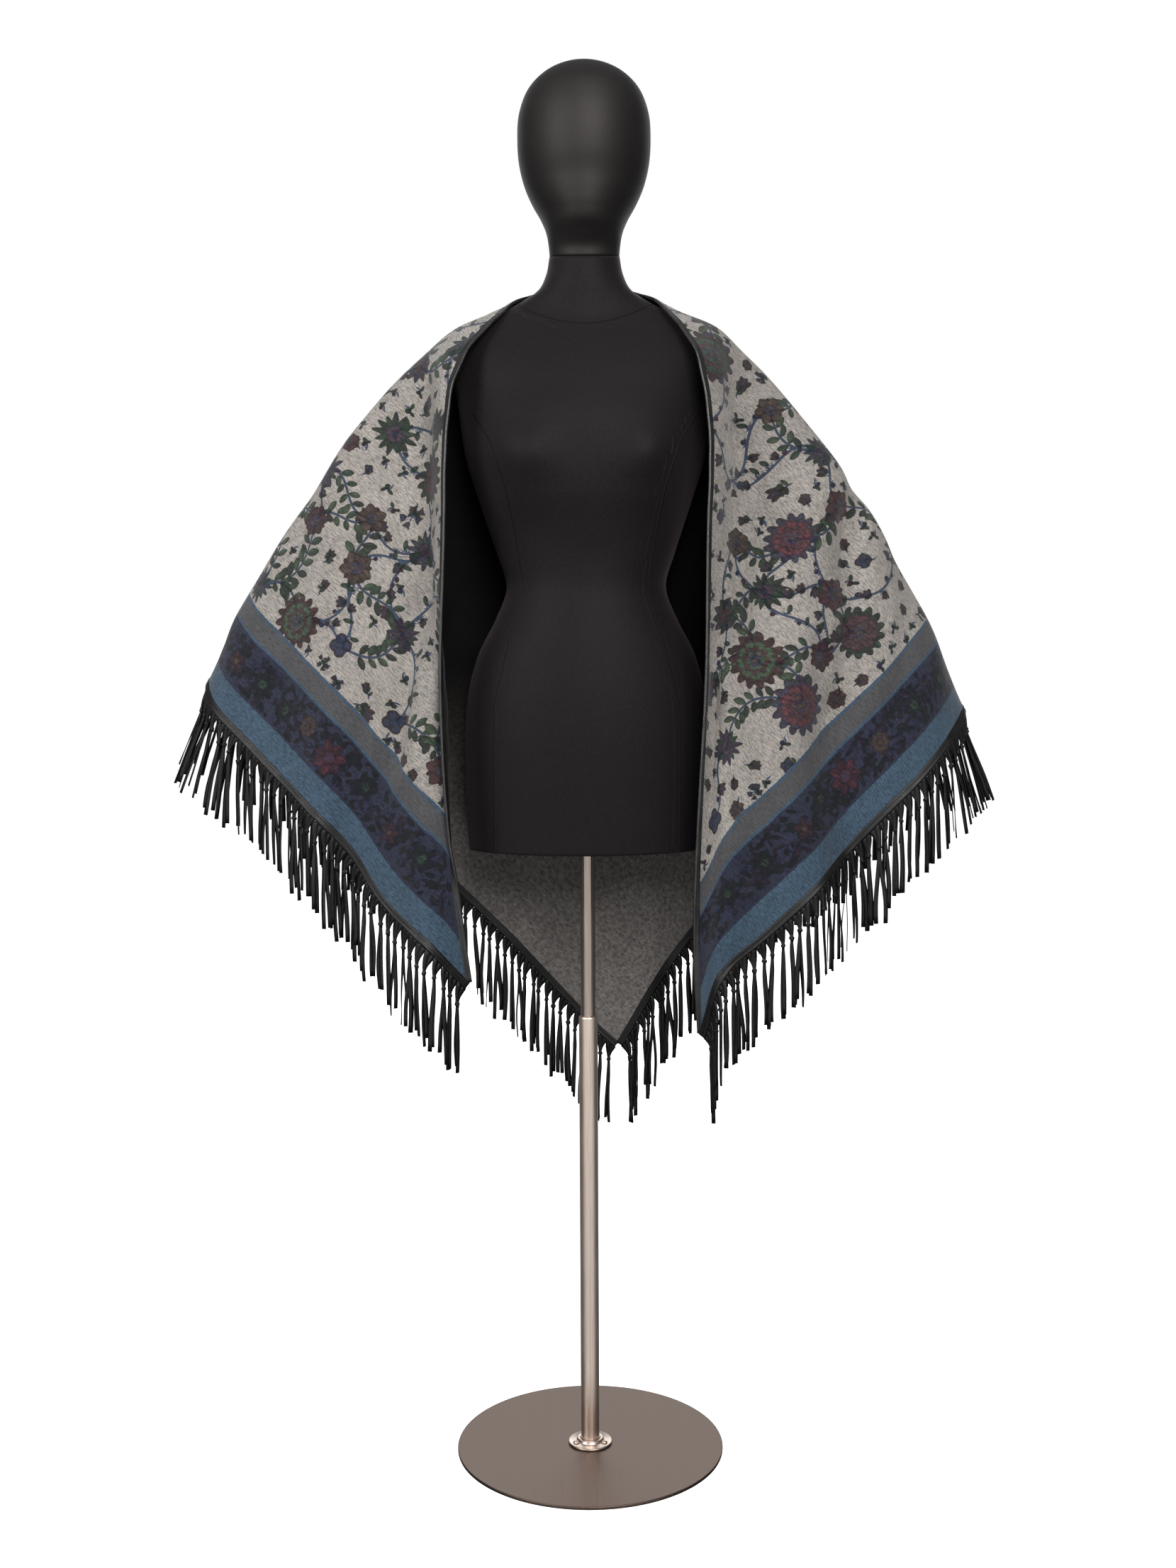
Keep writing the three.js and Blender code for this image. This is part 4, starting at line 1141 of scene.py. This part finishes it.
# Materials
class Nodes:
    """A node tree being filled. Each value given is a number, a colour or a node's output."""

    def __init__(self, owner):
        owner.use_nodes = True
        self.tree = owner.node_tree
        self.tree.nodes.clear()

    def node(self, kind, **settings):
        made = self.tree.nodes.new(kind)
        for key, value in settings.items():
            setattr(made, key, value)
        return made

    def feed(self, socket, value):
        if isinstance(value, bpy.types.NodeSocket):
            self.tree.links.new(value, socket)
        else:
            socket.default_value = value

    def fed(self, kind, values, **settings):
        """A node with the values given to its inputs, by place or by name."""
        made = self.node(kind, **settings)
        for key, value in values.items():
            self.feed(made.inputs[key], value)
        return made

    def math(self, operation, a, b=0.0, clamp=False):
        return self.fed("ShaderNodeMath", {0: a, 1: b}, operation=operation, use_clamp=clamp).outputs[0]

    def add(self, a, b):
        return self.math("ADD", a, b)

    def times(self, a, b, clamp=False):
        return self.math("MULTIPLY", a, b, clamp)

    def ramp(self, value, low, high, out_low=0.0, out_high=1.0):
        values = dict(enumerate((value, low, high, out_low, out_high)))
        return self.fed("ShaderNodeMapRange", values, interpolation_type="SMOOTHSTEP").outputs[0]

    def parts(self, vector):
        return self.fed("ShaderNodeSeparateXYZ", {0: vector}).outputs


class Shader(Nodes):
    """A material built from nodes round one Principled surface."""

    def __init__(self, name):
        self.material = bpy.data.materials.new(name)
        super().__init__(self.material)
        self.surface = self.node("ShaderNodeBsdfPrincipled")
        self.fed("ShaderNodeOutputMaterial", {0: self.surface.outputs[0]})

    @property
    def at(self):
        """Place in the object's own space."""
        return self.node("ShaderNodeTexCoord").outputs["Object"]

    def set(self, **values):
        for key, value in values.items():
            self.feed(self.surface.inputs[key.replace("_", " ")], value)

    def blend(self, a, b, share):
        """The share of a and the rest of b, added."""
        return self.add(self.times(a, share), self.times(b, 1 - share))

    def about(self, value, gain):
        """How far the value is from a half, times the gain."""
        return self.times(self.math("SUBTRACT", value, 0.5), gain)

    def mix(self, factor, a, b, blend="MIX"):
        values = {0: factor, 6: a, 7: b}
        return self.fed("ShaderNodeMix", values, data_type="RGBA", blend_type=blend).outputs[2]

    def attribute(self, name, output="Fac"):
        return self.node("ShaderNodeAttribute", attribute_name=name).outputs[output]

    def noise(self, vector, scale=1.0, detail=2.0, rough=0.55, turn=0.0):
        """Noise over a vector. A scale of three numbers stretches it, turned about Z first."""
        if isinstance(scale, tuple):
            values = {"Vector": vector, "Rotation": (0, 0, turn), "Scale": scale}
            vector = self.fed("ShaderNodeMapping", values, vector_type="POINT").outputs[0]
            scale = 1.0
        values = {"Vector": vector, "Scale": scale, "Detail": detail, "Roughness": rough}
        return self.fed("ShaderNodeTexNoise", values).outputs[0]

    def bump(self, height, distance, strength):
        values = {"Strength": strength, "Distance": distance, "Height": height}
        self.set(Normal=self.fed("ShaderNodeBump", values).outputs[0])


def nap(shader, flat):
    """Streaks, single fibres and slow clouding of brushed cashmere over the flat cloth."""
    drift = shader.fed("ShaderNodeTexNoise", {"Vector": flat, "Scale": 30.0}).outputs[1]
    bent = shader.fed("ShaderNodeVectorMath", {0: drift, 1: (0.006, 0.006, 0.0), 2: flat},
                      operation="MULTIPLY_ADD").outputs[0]
    streak = shader.noise(bent, (120, 620, 1), 3.0, 0.6, 0.12)
    fibre = shader.noise(flat, (420, 1100, 1), 2.0, 0.6, 0.1)
    cloud = shader.noise(flat, 26.0, 3.0, 0.6)
    return streak, fibre, cloud


def reverse_colour(shader, flat, light):
    """Clumped grey, and much darker up inside, where the cloth shades itself."""
    clump = shader.noise(flat, 150.0, 3.0, 0.65)
    light = shader.blend(light, shader.ramp(clump, 0.35, 0.65), 0.55)
    colour = shader.mix(light, rgba(REVERSE, 0.58), rgba(REVERSE, 2.1))
    a, b, _ = shader.parts(flat)
    return shader.mix(shader.ramp(shader.add(a, b), 0.38, 0.78), colour, rgba(REVERSE, 0.05))


def print_colour(shader, flat, light, grain, fibre, cloud):
    """Hem bands, pale field, vines and the printed shapes, each with the nap in it."""
    a, b, _ = shader.parts(flat)
    from_hem = shader.times(shader.math("MINIMUM", a, b), 1 / MM)
    edge = shader.add(from_hem, shader.add(shader.about(fibre, 2.2), shader.about(cloud, 2.4)))

    def past(limit, soft=0.5):
        return shader.ramp(edge, limit - soft, limit + soft)

    def melange(colour, low, high):
        return shader.mix(light, rgba(colour, low), rgba(colour, high))

    line = melange(LINE_BLUE, 0.8, 1.25)
    field, in_field = shader.mix(light, rgba(FIELD_DARK), rgba(FIELD)), past(BAND_EDGES[4])
    colour = melange(BLUE_BAND, 0.55, 1.38)
    bands = (melange(NAVY_BAND, 0.5, 1.42), line, melange(TAUPE, 0.7, 1.25), line)
    for limit, band in zip(BAND_EDGES, bands):
        colour = shader.mix(past(limit), colour, band)
    colour = shader.mix(in_field, colour, field)
    fuzz = shader.about(grain, 3.0)
    stem = shader.math("SUBTRACT", shader.attribute("stem_half"),
                       shader.math("ABSOLUTE", shader.attribute("stem")))
    stem = shader.times(shader.ramp(shader.add(stem, shader.times(fuzz, 0.35)), -0.4, 0.15), in_field)
    colour = shader.mix(shader.times(stem, 0.92), colour, melange(VINE, 0.7, 1.2))
    ink = shader.add(shader.attribute("ink"), fuzz)
    in_band = shader.math("SUBTRACT", 1.0, past(BAND_EDGES[1]))
    cover = shader.add(in_field, shader.times(in_band, 0.86))
    cover = shader.times(cover, shader.ramp(ink, -0.8, -0.05), clamp=True)
    tone = shader.mix(shader.ramp(grain, 0.3, 0.66), (0.48, 0.49, 0.53, 1), (1.08, 1.08, 1.07, 1))
    painted = shader.mix(1.0, shader.attribute("tint", "Color"), tone, "MULTIPLY")
    painted = shader.mix(1.0, painted, shader.ramp(ink, 0.4, 2.0, 0.5, 1.06), "MULTIPLY")
    return shader.mix(shader.times(cover, 0.94), colour, painted)


def cashmere(reverse):
    shader = Shader("cashmere_reverse" if reverse else "cashmere_print")
    flat = shader.attribute("flat", "Vector")
    streak, fibre, cloud = nap(shader, flat)
    grain = shader.blend(streak, fibre, 0.62)
    light = shader.ramp(grain, 0.38, 0.60)
    if reverse:
        colour, gloss, down = reverse_colour(shader, flat, light), 0.1, 0.06
    else:
        colour, gloss, down = print_colour(shader, flat, light, grain, fibre, cloud), 0.25, 0.22
    colour = shader.mix(1.0, colour, shader.ramp(cloud, 0.3, 0.7, 0.9, 1.06), "MULTIPLY")
    shader.set(Base_Color=colour, Roughness=0.92, Specular_IOR_Level=gloss, Sheen_Weight=down,
               Sheen_Roughness=0.45)
    shader.bump(grain, 0.0016, 0.75)
    return shader.material


def leather(name, tone, rough, shine):
    shader = Shader(name)
    grain = shader.noise(shader.at, 900.0, 3.0, 0.6)
    worn = shader.noise(shader.at, 60.0, 3.0, 0.6)
    pores = shader.fed("ShaderNodeTexVoronoi", {"Vector": shader.at, "Scale": 1300.0}).outputs[0]
    colour = shader.mix(shader.ramp(worn, 0.35, 0.7), rgba(tone, 0.75), rgba(tone, 1.3))
    shader.set(Base_Color=colour, Roughness=shader.ramp(worn, 0.3, 0.7, rough - 0.07, rough + 0.09),
               Specular_IOR_Level=shine)
    shader.bump(shader.add(grain, pores), 0.00025, 0.5)
    return shader.material


def thread():
    shader = Shader("thread")
    twist = shader.noise(shader.at, 1500.0, 1.0)
    colour = shader.mix(twist, rgba((0.08, 0.08, 0.08)), rgba((0.15, 0.147, 0.145)))
    shader.set(Base_Color=colour, Roughness=0.6)
    shader.bump(twist, 0.0002, 0.5)
    return shader.material


def plain(colour, gain=1.0):
    """A linear colour times a gain, for a socket."""
    return tuple(v * gain for v in colour) + (1,)


def jersey(name, gloss, rough, pale, down):
    shader = Shader(name)
    wales = shader.noise(shader.at, (900, 900, 260), 1.0)
    pile = shader.noise(shader.at, 380.0, 3.0, 0.6)
    slow = shader.noise(shader.at, 9.0, 2.0)
    groove = shader.ramp(shader.math("ABSOLUTE", shader.attribute("seam")), 0.35, 1.6)
    knit = shader.blend(wales, pile, 0.6)
    colour = shader.mix(shader.ramp(knit, 0.35, 0.65), plain((0.0085, 0.0078, 0.0081), pale),
                        plain((0.0150, 0.0136, 0.0141), pale))
    colour = shader.mix(shader.ramp(slow, 0.35, 0.65, 0.0, 0.3), colour, plain((0.009, 0.0083, 0.0087), pale))
    colour = shader.mix(groove, (0.001, 0.001, 0.001, 1), colour)
    shader.set(Base_Color=colour, Roughness=rough, Specular_IOR_Level=gloss, Sheen_Weight=down,
               Sheen_Roughness=0.5, Sheen_Tint=(0.92, 0.76, 0.86, 1), Specular_Tint=(1.0, 0.93, 0.89, 1))
    shader.bump(shader.add(shader.times(knit, 0.25), groove), 0.0011, 0.6)
    return shader.material


def brushed_plate():
    """Straight brush lines that run from front to back."""
    shader = Shader("brushed_plate")
    fine = shader.noise(shader.at, (2600, 9, 60), 2.0, 0.7)
    broad = shader.noise(shader.at, (260, 2.5, 10), 3.0, 0.6)
    brush = shader.blend(fine, broad, 0.6)
    colour = shader.mix(shader.ramp(brush, 0.35, 0.65), (0.106, 0.079, 0.066, 1), (0.152, 0.112, 0.093, 1))
    shader.set(Base_Color=colour, Metallic=1.0, Roughness=shader.ramp(brush, 0.3, 0.7, 0.36, 0.5))
    shader.bump(fine, 0.00006, 0.5)
    return shader.material


def nickel(name, gain, rough):
    shader = Shader(name)
    fine = shader.noise(shader.at, (700, 700, 14), 2.0)
    slow = shader.noise(shader.at, 14.0, 2.0)
    colour = shader.mix(shader.ramp(fine, 0.3, 0.7), plain((0.82, 0.685, 0.595), gain),
                        plain((1, 0.845, 0.74), gain))
    shader.set(Base_Color=colour, Metallic=1.0, Roughness=shader.ramp(slow, 0.3, 0.7, rough, rough + 0.08))
    shader.bump(fine, 0.00003, 0.4)
    return shader.material


def pale_floor():
    shader = Shader("floor")
    cloud = shader.noise(shader.at, 3.0)
    shader.set(Base_Color=shader.mix(cloud, (0.86, 0.86, 0.86, 1), (0.9, 0.9, 0.9, 1)), Roughness=0.9,
               Emission_Color=(1, 1, 1, 1), Emission_Strength=0.85)
    return shader.material


# Seams of the form: level, half distance between the two front seams, in millimetres.
FRONT_SEAMS = np.array([(797, 117), (980, 116), (1060, 97), (1130, 78), (1200, 88), (1250, 98),
                        (1306, 117), (1360, 150)])
SEAMS_TOP = 1345
NECK_SEAM, NECK_RISE, NAPE_RISE = 1451.0, 0.0041, 26    # level in front, rise with x squared, rise behind
BACK_SEAM_TOP = 1470
NO_SEAM = 9.0


def seam_distances(rings):
    """Signed distance from each corner of the torso to its nearest seam, in millimetres."""
    x, y, z = rings[..., 0], rings[..., 1], rings[..., 2]
    aside = np.abs(x) - np.interp(z, FRONT_SEAMS[:, 0], FRONT_SEAMS[:, 1])
    aside = np.where((z < SEAMS_TOP) & (np.abs(y) > 20), aside, NO_SEAM)
    neck = z - (NECK_SEAM + NECK_RISE * x ** 2 + NAPE_RISE * smooth(y / 50))
    centre_back = np.where((y > 0) & (z < BACK_SEAM_TOP), x, NO_SEAM)
    options = np.stack([aside, neck, centre_back])
    best = np.argmin(np.abs(options), axis=0)
    return np.clip(np.take_along_axis(options, best[None], 0)[0], -NO_SEAM, NO_SEAM)


def dress(piece, material):
    piece.data.materials.append(material)


def build():
    """Every piece of the object, in groups by what it is made of."""
    halves, reverse = cloth_skins()
    left, right, long_side = Border("left"), Border("right"), Border("long")
    hems = {}
    for name, border in (("left", left), ("right", right)):
        hems[name] = trim(border, f"hem_roll_{name}", HEM_ROLL, 1.0, "hem_leather", f"hem_binding_{name}",
                          (0.2, 1.55))
    edge = trim(long_side, "edge_roll", EDGE_ROLL, 3.0, "edge_leather", "edge_binding", (-0.9, 1.45))
    fringes = {"left": fringe(left, "left", 11), "right": fringe(right, "right", 23)}
    torso = form_piece("form_torso", with_sloping_seam(TORSO), "torso", True)
    head = form_piece("form_head", with_sloping_seam(HEAD), "head", False)
    metal = stand()
    return halves, reverse, hems, edge, fringes, torso, head, metal


def finish_surfaces(halves, reverse, hems, edge, fringes, torso, head, metal):
    """Give every piece its material and the values that its nodes read."""
    cloth = cashmere(False)
    for piece, used in halves:
        for name, values in (("ink", INK), ("stem", STEM), ("stem_half", STEM_HALF)):
            attribute(piece, name, values.ravel()[used])
        tint = np.ones((len(used), 4))
        tint[:, :3] = linear(TINT.reshape(-1, 3)[used])
        attribute(piece, "tint", tint, "FLOAT_COLOR")
        dress(piece, cloth)
    dress(reverse, cashmere(True))
    hem_leather = leather("hem_leather", (0.082, 0.077, 0.078), 0.42, 0.32)
    edge_leather = leather("edge_leather", (0.12, 0.118, 0.118), 0.34, 0.7)
    strip_leather = leather("strip_leather", (0.062, 0.057, 0.058), 0.5, 0.32)
    sewing = thread()
    for (roll, stitches), hide in zip((*hems.values(), edge), (hem_leather, hem_leather, edge_leather)):
        dress(roll, hide)
        dress(stitches, sewing)
    for piece in (*fringes["left"], *fringes["right"]):
        dress(piece, strip_leather)
    attribute(torso, "seam", seam_distances(TORSO))
    attribute(head, "seam", np.full(HEAD.shape[:2], NO_SEAM))
    dress(torso, jersey("torso_jersey", 0.12, 0.6, 0.55, 0.085))
    dress(head, jersey("head_jersey", 0.44, 0.6, 0.4, 0.0))
    metals = {"base": brushed_plate(), "lower_tube": nickel("satin_nickel", 1.0, 0.34),
              "upper_tube": nickel("bright_nickel", 0.62, 0.2)}
    fittings = nickel("fitting_nickel", 0.6, 0.28)
    for name, piece in metal.items():
        dress(piece, metals.get(name, fittings))


def studio():
    """A pale floor, large soft lights, and a world that looks white but lights the object less."""
    stage_floor()
    for light in LIGHTS:
        area_light(*light)
    world = bpy.data.worlds.new("world")
    bpy.context.scene.world = world
    sky = Nodes(world)
    _, y, z = sky.parts(sky.node("ShaderNodeTexCoord").outputs["Generated"])
    front = sky.times(sky.ramp(y, 0.0, -0.7, 0.0, 0.19), sky.ramp(z, -0.75, -0.5))
    strip = sky.times(sky.ramp(z, -0.62, -0.45, 0.0, 0.42), sky.ramp(z, 0.08, -0.1))
    front = sky.add(front, sky.times(strip, sky.ramp(y, -0.2, -0.8)))
    above = sky.ramp(z, 0.35, 0.85, 0.0, 0.25)
    behind = sky.times(sky.ramp(y, 0.3, 0.95, 0.0, 0.22), sky.ramp(z, -0.6, -0.1))
    total = sky.add(sky.add(front, above), sky.add(behind, 0.07))
    white = {"Color": (1, 1, 1, 1)}
    cast = sky.fed("ShaderNodeBackground", {**white, "Strength": total}).outputs[0]
    seen = sky.fed("ShaderNodeBackground", white).outputs[0]
    by_camera = sky.node("ShaderNodeLightPath").outputs["Is Camera Ray"]
    both = sky.fed("ShaderNodeMixShader", {0: by_camera, 1: cast, 2: seen}).outputs[0]
    sky.fed("ShaderNodeOutputWorld", {0: both})
    bpy.context.scene.view_settings.view_transform = "Standard"


field_print()
band_print()
finish_surfaces(*build())
camera()
studio()
